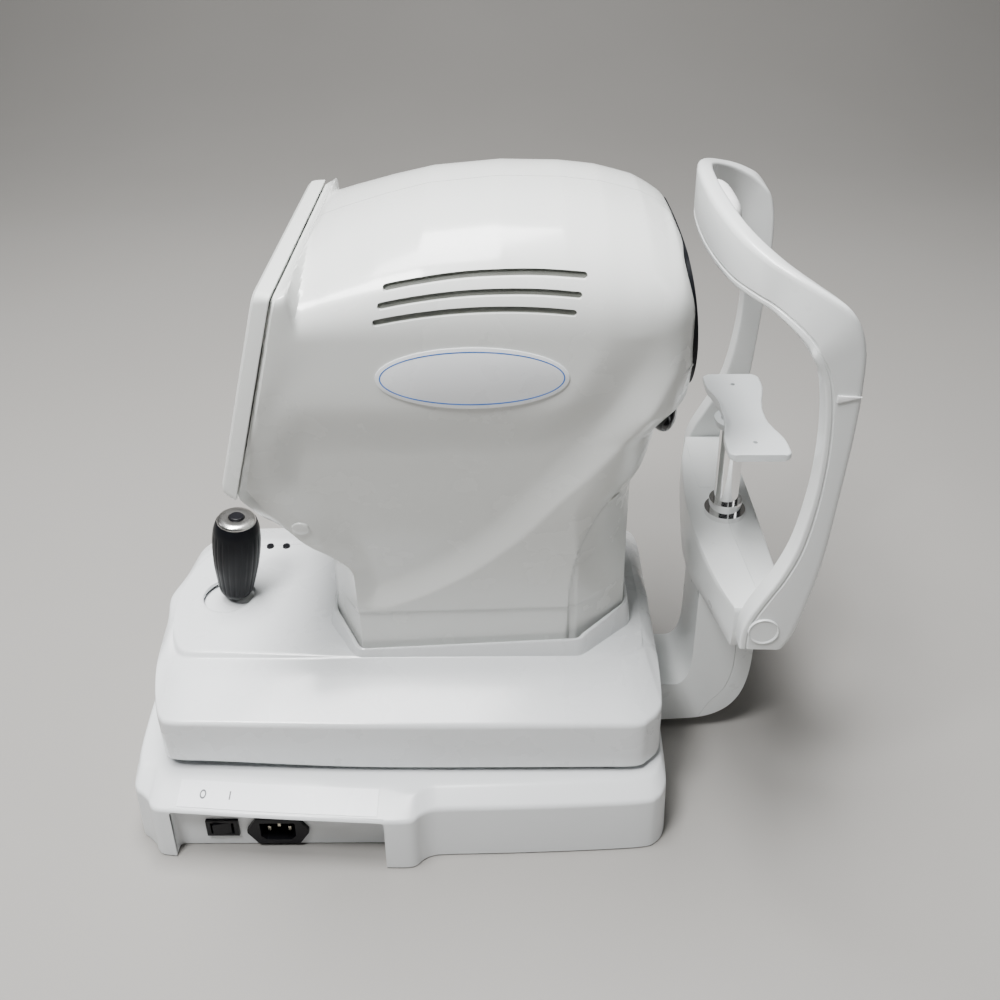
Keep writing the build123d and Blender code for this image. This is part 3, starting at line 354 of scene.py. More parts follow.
# The finish of each CAD node that stays in view.
NODE_FINISH = {
    "stage_white": ["joystick_dome", "printer_door"],
    "grip_rubber": ["rubber_feet"],
    "black_plastic": ["power_inlet", "switch_frame", "power_rocker", "chin_up_button", "chin_down_button"],
    "inner_black": ["camera_module", "printer_case", "chin_gearmotor"],
    "chrome": ["chin_post", "chin_collar"],
    "ground_steel": [
        "cross_rods", "cross_axle", "joystick_shaft", "lift_columns", "lift_screw", "chin_screw",
        "rack_rails", "gimbal_ring", "base_screws", "cover_screws", "frame_screws",
    ],
    "plate_steel": ["base_plate", "power_supply"],
    "cast_alloy": ["carriage_frame", "stage_frame", "lift_block", "optical_bench", "objective_barrel"],
    "bronze": ["slide_bushes"],
    "nickel": ["inlet_pins"],
    "screen_glass": ["lcd_screen"],
    "lens_glass": ["window_lens"],
    "front_black": ["kerato_ring"],
    "paper": ["paper_roll"],
    "plate_grey": ["friction_plate"],
}


# ---------------------------------------------------------------- curves and numbers

def along(table: list[Point], where: float) -> float:
    """Read a table of (place, value) pairs, straight between its rows."""
    if where <= table[0][0]:
        return table[0][1]
    for (start, low), (end, high) in zip(table, table[1:]):
        if where <= end:
            return low + (high - low) * (where - start) / (end - start)
    return table[-1][1]


def eased(table: list[Point], where: float, reach: float) -> float:
    """Read a table with its corners rounded over a reach each way."""
    steps = 6
    total = sum(along(table, where + reach * (2 * step / steps - 1)) for step in range(steps + 1))
    return total / (steps + 1)


def smoothstep(low: float, high: float, value: float) -> float:
    """Rise from 0 at low to 1 at high."""
    share = min(1.0, max(0.0, (value - low) / (high - low)))
    return share * share * (3.0 - 2.0 * share)


def spline(points: list[Point], steps: int, closed: bool = False) -> list[Vector]:
    """Smooth curve through points.

    Args:
        points: The points it passes through.
        steps: How many stretches each span gets.
        closed: Whether the curve returns to its start.

    Returns:
        The curve's points; a closed one doesn't repeat its first.
    """
    nodes = [Vector(point) for point in points]
    count = len(nodes)
    curve = []
    for index in range(count if closed else count - 1):
        before = nodes[index - 1] if closed or index else nodes[0]
        start = nodes[index]
        end = nodes[(index + 1) % count]
        after = nodes[(index + 2) % count] if closed or index + 2 < count else nodes[-1]
        for step in range(steps):
            t = step / steps
            curve.append(0.5 * (
                2 * start + (end - before) * t + (2 * before - 5 * start + 4 * end - after) * t ** 2
                + (3 * start - before - 3 * end + after) * t ** 3
            ))
    return curve if closed else curve + [nodes[-1]]


def cornered(points: list[Point], radii: list[float], steps: int = 5, closed: bool = True) -> list[Vector]:
    """Outline with rounded corners.

    Args:
        points: Its corners.
        radii: How far each corner's rounding reaches along its sides.
        steps: Stretches in each rounding.
        closed: Whether the first and last corners are rounded too.

    Returns:
        The outline's points.
    """
    nodes = [Vector(point) for point in points]
    count = len(nodes)
    outline = []
    for index, node in enumerate(nodes):
        reach = radii[index]
        if reach <= 0 or (not closed and index in (0, count - 1)):
            outline.append(node)
            continue
        before = nodes[index - 1] - node
        after = nodes[(index + 1) % count] - node
        start = node + before.normalized() * min(reach, before.length * 0.49)
        end = node + after.normalized() * min(reach, after.length * 0.49)
        for step in range(steps + 1):
            t = step / steps
            outline.append(start * (1 - t) ** 2 + node * 2 * t * (1 - t) + end * t ** 2)
    return outline


def nearest(curve: list[Vector], x: float, z: float) -> tuple[float, float]:
    """Signed distance to a curve in XZ, positive to its left, and the share along it."""
    best = (1e9, 0.0, 0.0)
    place = Vector((x, z))
    for index in range(len(curve) - 1):
        start, end = curve[index], curve[index + 1]
        run = end - start
        share = min(1.0, max(0.0, (place - start).dot(run) / run.length_squared))
        gap = place - (start + run * share)
        if gap.length < best[0]:
            side = 1.0 if run.x * gap.y - run.y * gap.x > 0 else -1.0
            best = (gap.length, side, (index + share) / (len(curve) - 1))
    return best[0] * best[1], best[2]


# ---------------------------------------------------------------- mesh tools, in millimetres

def skin(mesh: bmesh.types.BMesh, curves: list[list[Vector]]) -> None:
    """Stretch a grid over curves that all have the same number of points."""
    rows, columns = len(curves), len(curves[0])
    made = bmesh.ops.create_grid(mesh, x_segments=columns - 1, y_segments=rows - 1, size=0.5)
    for vert in made["verts"]:
        column = round((vert.co.x + 0.5) * (columns - 1))
        row = round((vert.co.y + 0.5) * (rows - 1))
        vert.co = curves[row][column]


def tidy(mesh: bmesh.types.BMesh) -> None:
    """Merge doubles and turn every face outwards."""
    bmesh.ops.remove_doubles(mesh, verts=mesh.verts, dist=0.002)
    bmesh.ops.dissolve_degenerate(mesh, edges=mesh.edges, dist=0.001)
    bmesh.ops.recalc_face_normals(mesh, faces=mesh.faces)


def fill_holes(mesh: bmesh.types.BMesh) -> None:
    """Close every open rim with a face."""
    rims = [edge for edge in mesh.edges if edge.is_boundary]
    bmesh.ops.holes_fill(mesh, edges=rims, sides=0)
    bmesh.ops.recalc_face_normals(mesh, faces=mesh.faces)


def look_towards(mesh: bmesh.types.BMesh, way: Point, probe: bmesh.types.BMFace | None = None) -> None:
    """Make an open skin's faces agree, and look the given way at a probe face.

    Args:
        mesh: The skin.
        way: The direction.
        probe: The face to judge by, or the first one.
    """
    bmesh.ops.recalc_face_normals(mesh, faces=mesh.faces)
    probe = probe or next(iter(mesh.faces))
    if probe.normal.dot(Vector(way)) < 0:
        bmesh.ops.reverse_faces(mesh, faces=mesh.faces)


def pour(part: bmesh.types.BMesh, mesh: bmesh.types.BMesh) -> None:
    """Move a part's faces into another mesh."""
    data = bpy.data.meshes.new("part")
    part.to_mesh(data)
    part.free()
    mesh.from_mesh(data)
    bpy.data.meshes.remove(data)


def copied(piece: bpy.types.Object) -> bmesh.types.BMesh:
    """Copy of an object's mesh."""
    mesh = bmesh.new()
    mesh.from_mesh(piece.data)
    return mesh


def extrude(mesh: bmesh.types.BMesh, outline: list[Point], axis: str, low: float, high: float) -> None:
    """Add a closed prism.

    Args:
        mesh: Where it goes.
        outline: Pairs of numbers in the plane across the axis.
        axis: x, y or z.
        low: Where it starts on the axis.
        high: Where it ends.
    """
    place = "xyz".index(axis)
    shift = Vector((0, 0, 0))
    shift[place] = high - low
    corners = [(*pair[:place], low, *pair[place:]) for pair in (tuple(point) for point in outline)]
    face = mesh.faces.new([mesh.verts.new(corner) for corner in corners])
    made = bmesh.ops.extrude_face_region(mesh, geom=[face])
    top = [item for item in made["geom"] if isinstance(item, bmesh.types.BMVert)]
    bmesh.ops.translate(mesh, verts=top, vec=shift)
    bmesh.ops.recalc_face_normals(mesh, faces=mesh.faces)


def turn(mesh: bmesh.types.BMesh, profile: list[Point], steps: int = 64) -> None:
    """Spin a profile of (radius, height) pairs about Z."""
    verts = [mesh.verts.new((radius, 0, height)) for radius, height in profile]
    edges = [mesh.edges.new(pair) for pair in zip(verts, verts[1:])]
    bmesh.ops.spin(
        mesh, geom=verts + edges, cent=(0, 0, 0), axis=(0, 0, 1), dvec=(0, 0, 0), angle=math.tau, steps=steps,
        use_merge=True,
    )
    tidy(mesh)


def round_edges(mesh: bmesh.types.BMesh, width: float, angle: float = 30.0, segments: int = 3) -> None:
    """Bevel every edge that is sharper than an angle."""
    limit = math.radians(angle)
    sharp = [edge for edge in mesh.edges if edge.is_manifold and edge.calc_face_angle(0.0) > limit]
    bmesh.ops.bevel(
        mesh, geom=sharp, offset=width, offset_type="OFFSET", segments=segments, profile=0.5, material=-1,
        affect="EDGES", clamp_overlap=True,
    )


def oval(centre: Point, half: Point, steps: int = 64) -> list[Point]:
    """Ellipse as pairs."""
    turns = [math.tau * step / steps for step in range(steps)]
    return [(centre[0] + half[0] * math.cos(a), centre[1] + half[1] * math.sin(a)) for a in turns]


def stadium(start: Point, end: Point, radius: float, rise: float = 0.0, steps: int = 24) -> list[Point]:
    """Slot with round ends, arched by a rise at its middle."""
    line = [Vector(start).lerp(Vector(end), step / steps) for step in range(steps + 1)]
    line = [point + Vector((0, rise * (1 - (2 * step / steps - 1) ** 2))) for step, point in enumerate(line)]
    upper, lower = [], []
    for index, point in enumerate(line):
        run = (line[min(index + 1, steps)] - line[max(index - 1, 0)]).normalized()
        side = Vector((-run.y, run.x)) * radius
        upper.append(point + side)
        lower.append(point - side)
    first = (line[1] - line[0]).normalized()
    last = (line[-1] - line[-2]).normalized()
    cap_end, cap_start = [], []
    for step in range(1, 8):
        a = math.pi * step / 8
        cap_end.append(line[-1] + (Vector((-last.y, last.x)) * math.cos(a) + last * math.sin(a)) * radius)
        cap_start.append(line[0] + (Vector((first.y, -first.x)) * math.cos(a) - first * math.sin(a)) * radius)
    return [tuple(point) for point in upper + cap_end + lower[::-1] + cap_start]


def both_sides(half: list[Vector]) -> list[Vector]:
    """Closed plan from its near half, which starts and ends on the middle plane."""
    plan = half + [Vector((point.x, -point.y)) for point in half[-2:0:-1]]
    return plan + plan[:1]


def blank(name: str, mesh: bmesh.types.BMesh) -> bpy.types.Object:
    """Object from a bmesh, still in millimetres."""
    data = bpy.data.meshes.new(name)
    mesh.to_mesh(data)
    mesh.free()
    made = bpy.data.objects.new(name, data)
    bpy.context.scene.collection.objects.link(made)
    return made


def applied(piece: bpy.types.Object) -> None:
    """Bake an object's modifiers into its mesh."""
    seen = piece.evaluated_get(bpy.context.evaluated_depsgraph_get())
    data = bpy.data.meshes.new_from_object(seen)
    piece.modifiers.clear()
    piece.data = data


def solidify(piece: bpy.types.Object, thickness: float) -> None:
    """Give a skin its wall, inwards."""
    wall = piece.modifiers.new("wall", "SOLIDIFY")
    wall.thickness = thickness
    wall.offset = -1.0
    applied(piece)


def carve(piece: bpy.types.Object, cutters: list[bpy.types.Object], operation: str = "DIFFERENCE") -> None:
    """Cut a piece with others, which are then removed."""
    for cutter in cutters:
        tool = piece.modifiers.new("cut", "BOOLEAN")
        tool.operation = operation
        tool.solver = "EXACT"
        tool.object = cutter
        applied(piece)
        bpy.data.objects.remove(cutter)


def moulded(name: str, sections: list[list[Vector]], wall: float) -> bpy.types.Object:
    """Cover from its sections, each from the foot to the middle, as one open skin with a wall."""
    mesh = bmesh.new()
    skin(mesh, sections)
    bmesh.ops.remove_doubles(mesh, verts=mesh.verts, dist=0.01)
    look_towards(mesh, (0, 0, 1), max(mesh.faces, key=lambda face: face.calc_center_median().z))
    cover = blank(name, mesh)
    solidify(cover, wall)
    return cover


@dataclass
class Workshop:
    """Finishes pieces: scale to metres, shading, material and body."""

    frame: dict
    materials: dict[str, bpy.types.Material] = field(default_factory=dict)

    def mix_paints(self) -> None:
        """Build every finish once."""
        for finish in FINISHES:
            self.materials[finish.name] = finish.material()

    def dress_frame(self) -> None:
        """Give the CAD nodes that stay in view their finishes."""
        for finish, nodes in NODE_FINISH.items():
            for node in nodes:
                data = self.frame["nodes"][node].data
                data.materials.clear()
                data.materials.append(self.materials[finish])
                LOG.info("dressed %s in %s", node, finish)

    def finish(
        self,
        piece: bpy.types.Object,
        body: str,
        finish: str,
        nodes: tuple[str, ...] = (),
        slot: str | None = None,
        crisp: Smooth = Smooth.PLAIN,
    ) -> bpy.types.Object:
        """Complete one piece.

        Args:
            piece: The object, in millimetres.
            body: The body that it rides on.
            finish: The name of its finish.
            nodes: The CAD nodes that it stands for.
            slot: The record's material slot; not used.
            crisp: Which edges stay crisp.

        Returns:
            The finished piece.
        """
        piece.data.transform(Matrix.Scale(MM, 4))
        piece.data.materials.clear()
        piece.data.materials.append(self.materials[finish])
        piece.data.shade_smooth()
        piece.data.set_sharp_from_angle(angle=math.radians(crisp.value))
        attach(piece, body)
        if nodes:
            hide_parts(*nodes)
        LOG.info("%s rides on %s, %d faces", piece.name, body, len(piece.data.polygons))
        return piece


# ---------------------------------------------------------------- measuring head

@dataclass
class Head:
    """Casing of the measuring head, its monitor and what shows on it."""

    shop: Workshop
    shoulder_z: float = 375.0
    half_y: float = 98.0
    wall: float = 2.5
    seam: float = 0.22
    monitor_top: Point = (-90.0, 404.0)
    monitor_foot: Point = (-125.5, 269.5)
    bezel_half_y: float = 100.0
    screen: Point = (122.0, 92.0)
    badge: Point = (17.0, 352.0)
    badge_half: Point = (54.5, 19.5)
    plugs: tuple[Point, ...] = ((-94.0, 235.0), (102.5, 250.0))
    vent_x: Point = (-29.0, 79.0)
    optics_z: float = 360.0
    neck_bottom: float = 99.0
    side_steps: int = 142
    cap_steps: int = 46
    belly_depth: float = 7.0
    operator_x: tuple[Point, ...] = (
        (99, -86), (190, -86), (206, -95), (217, -108), (243, -117), (269, -124.9), (375, -97.3),
    )
    patient_x: tuple[Point, ...] = (
        (99, 117), (190, 117), (246, 118), (266, 126), (302, 132), (321, 148.5), (345, 151.6), (375, 151),
    )
    side_y: tuple[Point, ...] = (
        (99, 59), (142, 59), (200, 70), (250, 83), (300, 93.5), (335, 97.8), (375, 98),
    )
    operator_flat: tuple[Point, ...] = ((99, 28), (190, 29), (215, 50), (240, 76), (262, 91), (270, 95))
    operator_run: tuple[Point, ...] = ((99, 20), (190, 20), (215, 16), (240, 9), (262, 4), (270, 3))
    crest: tuple[Point, ...] = (
        (-98, 402), (-90, 405.5), (-84, 411), (-62, 419), (-36, 427), (-10, 433.5), (33, 437.6), (70, 436.5),
        (94, 433.5), (118, 427), (136, 418), (146, 405), (152, 380),
    )
    belly_edge: tuple[Point, ...] = (
        (152, 398), (138, 366), (127, 338), (113, 314), (91, 285), (68, 256), (44, 222.5), (18, 195),
        (-10, 173),
        (-36, 158.5), (-57, 153), (-69, 166), (-76, 190), (-82, 215), (-92, 240), (-112, 262), (-140, 275),
    )
    corner_edge: tuple[Point, ...] = (
        (128, 262), (112, 256), (101, 249), (93, 238), (86, 222), (80, 200), (77, 170), (76, 120), (76, 90),
    )

    def ring(self, z: float) -> list[Vector]:
        """Half the plan at a height, from the operator's side round the near side to the patient's."""
        left = eased(list(self.operator_x), z, 5.0)
        right = eased(list(self.patient_x), z, 3.0)
        side = eased(list(self.side_y), z, 12.0)
        flat = eased(list(self.operator_flat), z, 5.0)
        run = eased(list(self.operator_run), z, 5.0)
        fullness = smoothstep(165.0, 300.0, z)
        corner_run = 35.0 + 9.0 * fullness
        front_flat = 30.0 - 4.0 * fullness
        start = Vector((left + run, -side))
        corner = Vector((right - corner_run, -side))
        nose = Vector((right, -front_flat))
        middle = (corner + nose) / 2
        pull = middle.lerp(Vector((right, -side)), 0.16 + 0.84 * fullness)
        points = [Vector((left, -flat * step / 7)) for step in range(7)]
        points += [Vector((left, -flat)).lerp(start, step / 6) for step in range(6)]
        points += [start.lerp(corner, step / 96) for step in range(96)]
        for step in range(30):
            t = step / 30
            points.append(corner * (1 - t) ** 2 + pull * 2 * t * (1 - t) + nose * t ** 2)
        points += [nose.lerp(Vector((right, 0)), step / 9) for step in range(10)]
        return points

    def swell(self, point: Vector, z: float) -> float:
        """How far the side stands out from the plain ring, at a point of it."""
        left = eased(list(self.operator_x), z, 5.0)
        depth = 8.0 + 9.0 * smoothstep(330.0, 372.0, z)
        flare = 2.2 * math.exp(-(((point.x - left) / depth) ** 2)) * smoothstep(262.0, 275.0, z)
        gap, share = nearest(self.belly_line, point.x, z)
        lively = smoothstep(0.0, 0.14, share) * smoothstep(left + 8.0, left + 34.0, point.x)
        inside = max(0.0, -gap)
        cove = math.sin(math.pi / 2 * min(1.0, inside / 23.0))
        high = smoothstep(292.0, 336.0, z) * smoothstep(18.0, 50.0, inside)
        belly = self.belly_depth * lively * cove * (1.0 - high)
        corner_gap, _ = nearest(self.corner_line, point.x, z)
        corner = 2.6 * smoothstep(-1.0, 1.4, corner_gap) * (1.0 - smoothstep(246.0, 262.0, z))
        foot_line = 148.5 + (point.x + 60.0) * 0.03
        foot = 1.3 * (1.0 - smoothstep(foot_line - 1.2, foot_line + 1.0, z))
        return flare - belly - corner - foot

    def side_rows(self) -> list[list[Vector]]:
        """Rows of the casing's side, from the neck's foot up to the shoulder."""
        self.belly_line = spline(list(self.belly_edge), 4)
        self.corner_line = spline(list(self.corner_edge), 4)
        rows = []
        for index in range(self.side_steps + 1):
            z = self.neck_bottom + (self.shoulder_z - self.neck_bottom) * index / self.side_steps
            row = []
            for point in self.ring(z):
                share = min(1.0, -point.y / eased(list(self.side_y), z, 12.0))
                weight = smoothstep(0.35, 0.9, share)
                y = point.y - self.swell(point, z) * weight
                row.append(Vector((point.x, min(y, 0.0), z)))
            rows.append(row)
        return rows

    def cap_rows(self, rim: list[Vector]) -> list[list[Vector]]:
        """Rows of the crown, from the shoulder over to the middle plane."""
        rows = []
        for index in range(1, self.cap_steps + 1):
            k = 1.0 - (index / self.cap_steps) ** 2
            row = []
            for point in rim:
                target = 22.0 + (point.x - 22.0) * 0.8
                x = target + (point.x - target) * k
                square = 1.0 - smoothstep(-96.5, -78.0, x)
                wide = 2.6 + 26.0 * square
                tall = 2.2 + 8.0 * square
                rise = (1.0 - k ** wide) ** (1.0 / tall)
                height = along(list(self.crest), x) - self.shoulder_z
                z = self.shoulder_z + height * rise
                lean = 0.264 * (z - self.shoulder_z) * (1.0 - smoothstep(-97.0, -74.0, x))
                row.append(Vector((x + lean, point.y * k, z)))
            rows.append(row)
        return rows

    def half_shell(self, name: str) -> bpy.types.Object:
        """Near half of the casing, with its wall and its vents."""
        rows = self.side_rows()
        rows += self.cap_rows(rows[-1])
        for row in rows:
            for point in row:
                point.y = min(point.y, -self.seam)
        mesh = bmesh.new()
        skin(mesh, rows)
        bmesh.ops.remove_doubles(mesh, verts=mesh.verts, dist=0.02)
        look_towards(mesh, (0, -1, 0), min(mesh.faces, key=lambda face: face.calc_center_median().y))
        shell = blank(name, mesh)
        self.vent_screens(shell)
        solidify(shell, self.wall)
        carve(shell, [self.vent_cutter(), self.front_cutter(0.0)])
        return shell

    def vent_screens(self, shell: bpy.types.Object) -> None:
        """Grey gauze behind the slots, a little inside the casing's wall."""
        mesh = copied(shell)
        bmesh.ops.recalc_face_normals(mesh, faces=mesh.faces)
        probe = min(mesh.faces, key=lambda face: face.calc_center_median().y)
        inward = -1.0 if probe.normal.y < 0 else 1.0
        for vert in mesh.verts:
            vert.co += vert.normal * inward * (self.wall - 0.3)
        gauze = blank("vent_gauze_right", mesh)
        solidify(gauze, 0.8)
        region = bmesh.new()
        corners = [(-42.0, 376.0), (86.0, 381.0), (88.0, 424.0), (-42.0, 420.0)]
        extrude(region, corners, "y", -120.0, -62.0)
        carve(gauze, [blank("gauze_region", region)], "INTERSECT")
        far = self.mirrored(gauze, "vent_gauze_left")
        for piece in (gauze, far):
            self.shop.finish(piece, "head", "vent_grey")

    def vent_cutter(self) -> bpy.types.Object:
        """Three arched slots, as one cutter."""
        mesh = bmesh.new()
        for index in range(3):
            left = (self.vent_x[0] - 3.0 * index, 403.2 - 8.6 * index)
            right = (self.vent_x[1] - 3.0 * index, 408.6 - 9.0 * index)
            extrude(mesh, stadium(left, right, 1.9, 4.2), "y", -120.0, -66.0)
        return blank("vent_cutter", mesh)

    def front_outline(self, shrink: float) -> list[Point]:
        """Opening on the patient side, in YZ."""
        half, low, high = 74.0 - shrink, 322.0 + shrink, 406.0 - shrink
        corners = [
            (-half, low + 26), (-half + 14, low), (half - 14, low), (half, low + 26), (half - 2, high - 16),
            (half - 18, high), (-half + 18, high), (-half + 2, high - 16),
        ]
        return [tuple(point) for point in cornered(corners, [14.0] * 8)]

    def front_cutter(self, shrink: float) -> bpy.types.Object:
        """Prism along X through the patient side's opening."""
        mesh = bmesh.new()
        extrude(mesh, self.front_outline(shrink), "x", 112.0, 170.0)
        return blank("front_cutter", mesh)

    def mirrored(self, piece: bpy.types.Object, name: str) -> bpy.types.Object:
        """Far-side copy of a near piece."""
        mesh = copied(piece)
        bmesh.ops.transform(mesh, matrix=Matrix.Scale(-1.0, 4, Vector((0, 1, 0))), verts=mesh.verts)
        bmesh.ops.reverse_faces(mesh, faces=mesh.faces)
        return blank(name, mesh)

    def front_parts(self) -> None:
        """Patient side: panel and gasket."""
        mesh = bmesh.new()
        rows = [[Vector((148.6 - 0.00042 * y * y - 0.0022 * (z - 350.0) ** 2, y, z))
                 for y in range(-82, 83, 4)] for z in range(314, 417, 3)]
        skin(mesh, rows)
        look_towards(mesh, (1, 0, 0))
        panel = blank("front_panel_face", mesh)
        solidify(panel, 2.2)
        gasket_mesh = copied(panel)
        bmesh.ops.translate(gasket_mesh, verts=gasket_mesh.verts, vec=(0.5, 0, 0))
        gasket = blank("front_gasket_lip", gasket_mesh)
        carve(gasket, [self.front_cutter(0.1)], "INTERSECT")
        carve(gasket, [self.front_cutter(1.7)])
        carve(panel, [self.front_cutter(1.9)], "INTERSECT")
        hole = bmesh.new()
        extrude(hole, oval((0, self.optics_z), (26.0, 26.0)), "x", 100.0, 170.0)
        carve(panel, [blank("ring_hole", hole)])
        self.shop.finish(panel, "head", "front_black", ("front_panel",), "black_plastic")
        self.shop.finish(gasket, "head", "grip_rubber", ("front_gasket",), "rubber_black")

    def lower_window(self) -> None:
        """Dark rounded window under the front rim."""
        mesh = bmesh.new()
        bmesh.ops.create_uvsphere(mesh, u_segments=72, v_segments=36, radius=1.0)
        for vert in mesh.verts:
            vert.co.y = math.copysign(abs(vert.co.y) ** 0.55, vert.co.y)
        bmesh.ops.scale(mesh, vec=(11.0, 74.0, 13.5), verts=mesh.verts)
        turned = Matrix.Translation((131.5, 0.0, 304.0)) @ Matrix.Rotation(math.radians(18.0), 4, "Y")
        bmesh.ops.transform(mesh, matrix=turned, verts=mesh.verts)
        self.shop.finish(blank("lower_window_dome", mesh), "head", "front_black", crisp=Smooth.SOFT)

    def monitor(self) -> None:
        """Bezel with rounded corners, a tapered edge and a sunk window."""
        top, foot = Vector(self.monitor_top), Vector(self.monitor_foot)
        up = (top - foot).normalized()
        outward = Vector((-up.y, up.x))
        middle = (top + foot) / 2
        half_w, half_h = self.bezel_half_y, (top - foot).length / 2
        window_w, window_h = self.screen[0] / 2, self.screen[1] / 2
        steps = [
            (window_w, window_h, 0.3, 2.5), (half_w - 1.5, half_h - 1.5, 0.15, 5),
            (half_w - 0.1, half_h - 0.1, 0.15, 5), (half_w, half_h, 0.6, 5),
            (half_w - 1.0, half_h - 1.0, 6.0, 6), (half_w - 1.9, half_h - 1.9, 8.6, 7),
            (half_w - 4.0, half_h - 4.0, 10.2, 8), (half_w - 6.5, half_h - 6.5, 10.45, 8),
            (window_w + 5, window_h + 5, 10.45, 4), (window_w + 3.6, window_h + 3.6, 10.0, 3.6),
            (window_w, window_h, 6.4, 2.5), (window_w, window_h, 5.7, 2.5),
        ]
        mesh = bmesh.new()
        rings = []
        for width, height, depth, radius in steps:
            corners = [(-width, -height), (width, -height), (width, height), (-width, height)]
            outline = cornered(corners, [radius] * 4, 6)
            ring = []
            for across, rise in outline + outline[:1]:
                place = middle + up * rise + outward * depth
                ring.append(Vector((place.x, -across, place.y)))
            rings.append(ring)
        skin(mesh, rings)
        tidy(mesh)
        self.shop.finish(blank("monitor_frame", mesh), "head", "head_white", ("monitor_bezel",), "head_white",
                         Smooth.CRISP)

    def badges(self) -> None:
        """Blank oval plates with a thin blue line, one a side."""
        plate, line = bmesh.new(), bmesh.new()
        for side in (-1.0, 1.0):
            low, high = sorted((side * self.half_y, side * (self.half_y + 0.75)))
            extrude(plate, oval(self.badge, self.badge_half, 96), "y", low, high)
            outer = oval(self.badge, (self.badge_half[0] - 2.4, self.badge_half[1] - 2.4), 96)
            inner = oval(self.badge, (self.badge_half[0] - 3.2, self.badge_half[1] - 3.2), 96)
            y = side * (self.half_y + 0.8)
            rings = [[Vector((x, y, z)) for x, z in ring + ring[:1]] for ring in (outer, inner)]
            flat = bmesh.new()
            skin(flat, rings)
            tidy(flat)
            look_towards(flat, (0, side, 0))
            pour(flat, line)
        round_edges(plate, 0.35, 60.0, 2)
        plates = blank("side_badge_plates", plate)
        self.shop.finish(plates, "head", "label_white", ("side_badges",), "label_white")
        ring = blank("side_badge_lines", line)
        solidify(ring, 0.1)
        self.shop.finish(ring, "head", "ink_blue")

    def side_point(self, x: float, z: float) -> Vector:
        """Point of the near side's surface at a place along X and a height."""
        ring = self.ring(z)[13:]
        first, last = next(pair for pair in zip(ring, ring[1:]) if pair[1].x >= x)
        flat = first.lerp(last, (x - first.x) / max(0.001, last.x - first.x))
        share = min(1.0, -flat.y / eased(list(self.side_y), z, 12.0))
        return Vector((x, flat.y - self.swell(flat, z) * smoothstep(0.35, 0.9, share), z))

    def plug_caps(self) -> None:
        """Round caps over the screws, seated in the casing's side and standing a little proud of it."""
        profile = [(0.0, 1.25), (4.7, 1.2), (5.2, 1.0), (5.5, 0.5), (5.5, -4.0), (0.0, -4.0)]
        caps = bmesh.new()
        for x, z in self.plugs:
            place = self.side_point(x, z)
            along_x = self.side_point(x + 3.0, z) - self.side_point(x - 3.0, z)
            along_z = self.side_point(x, z + 3.0) - self.side_point(x, z - 3.0)
            facing = along_x.cross(along_z).normalized()
            for side in (1.0, -1.0):
                part = bmesh.new()
                turn(part, profile, 40)
                normal = Vector((facing.x, facing.y * side, facing.z))
                spot = Vector((place.x, place.y * side, place.z))
                turned = Vector((0, 0, 1)).rotation_difference(normal).to_matrix().to_4x4()
                bmesh.ops.transform(part, matrix=Matrix.Translation(spot) @ turned, verts=part.verts)
                pour(part, caps)
        self.shop.finish(blank("casing_plugs", caps), "head", "head_white", ("plug_caps",), "head_white")

    def eye_lines(self) -> None:
        """Raised lines on the front rim that show the height of the eye."""
        mesh = bmesh.new()
        for side in (-1.0, 1.0):
            rows = []
            for step in range(9):
                x = 131.0 + 15.0 * step / 8
                ring = self.ring(345.0)
                y = min((abs(point.x - x), point.y) for point in ring if point.y < -34)[1]
                curve = [Vector((x, y * -side, 345.0 + offset)) for offset in (-0.9, 0.9)]
                lift = [Vector((x + 0.3, (y - 0.45) * -side, 345.0 + offset)) for offset in (-0.6, 0.6)]
                rows.append([curve[0], lift[0], lift[1], curve[1], curve[0]])
            part = bmesh.new()
            skin(part, rows)
            tidy(part)
            pour(part, mesh)
        fill_holes(mesh)
        self.shop.finish(blank("rim_eye_lines", mesh), "head", "mark_grey")

    def build(self) -> None:
        """Make every piece of the head."""
        near = self.half_shell("casing_right")
        far = self.mirrored(near, "casing_left")
        self.shop.finish(near, "head", "head_white", ("head_shell_right",), "head_white")
        self.shop.finish(far, "head", "head_white", ("head_shell_left",), "head_white")
        self.front_parts()
        self.lower_window()
        self.monitor()
        self.badges()
        self.plug_caps()
        self.eye_lines()


# ---------------------------------------------------------------- stage

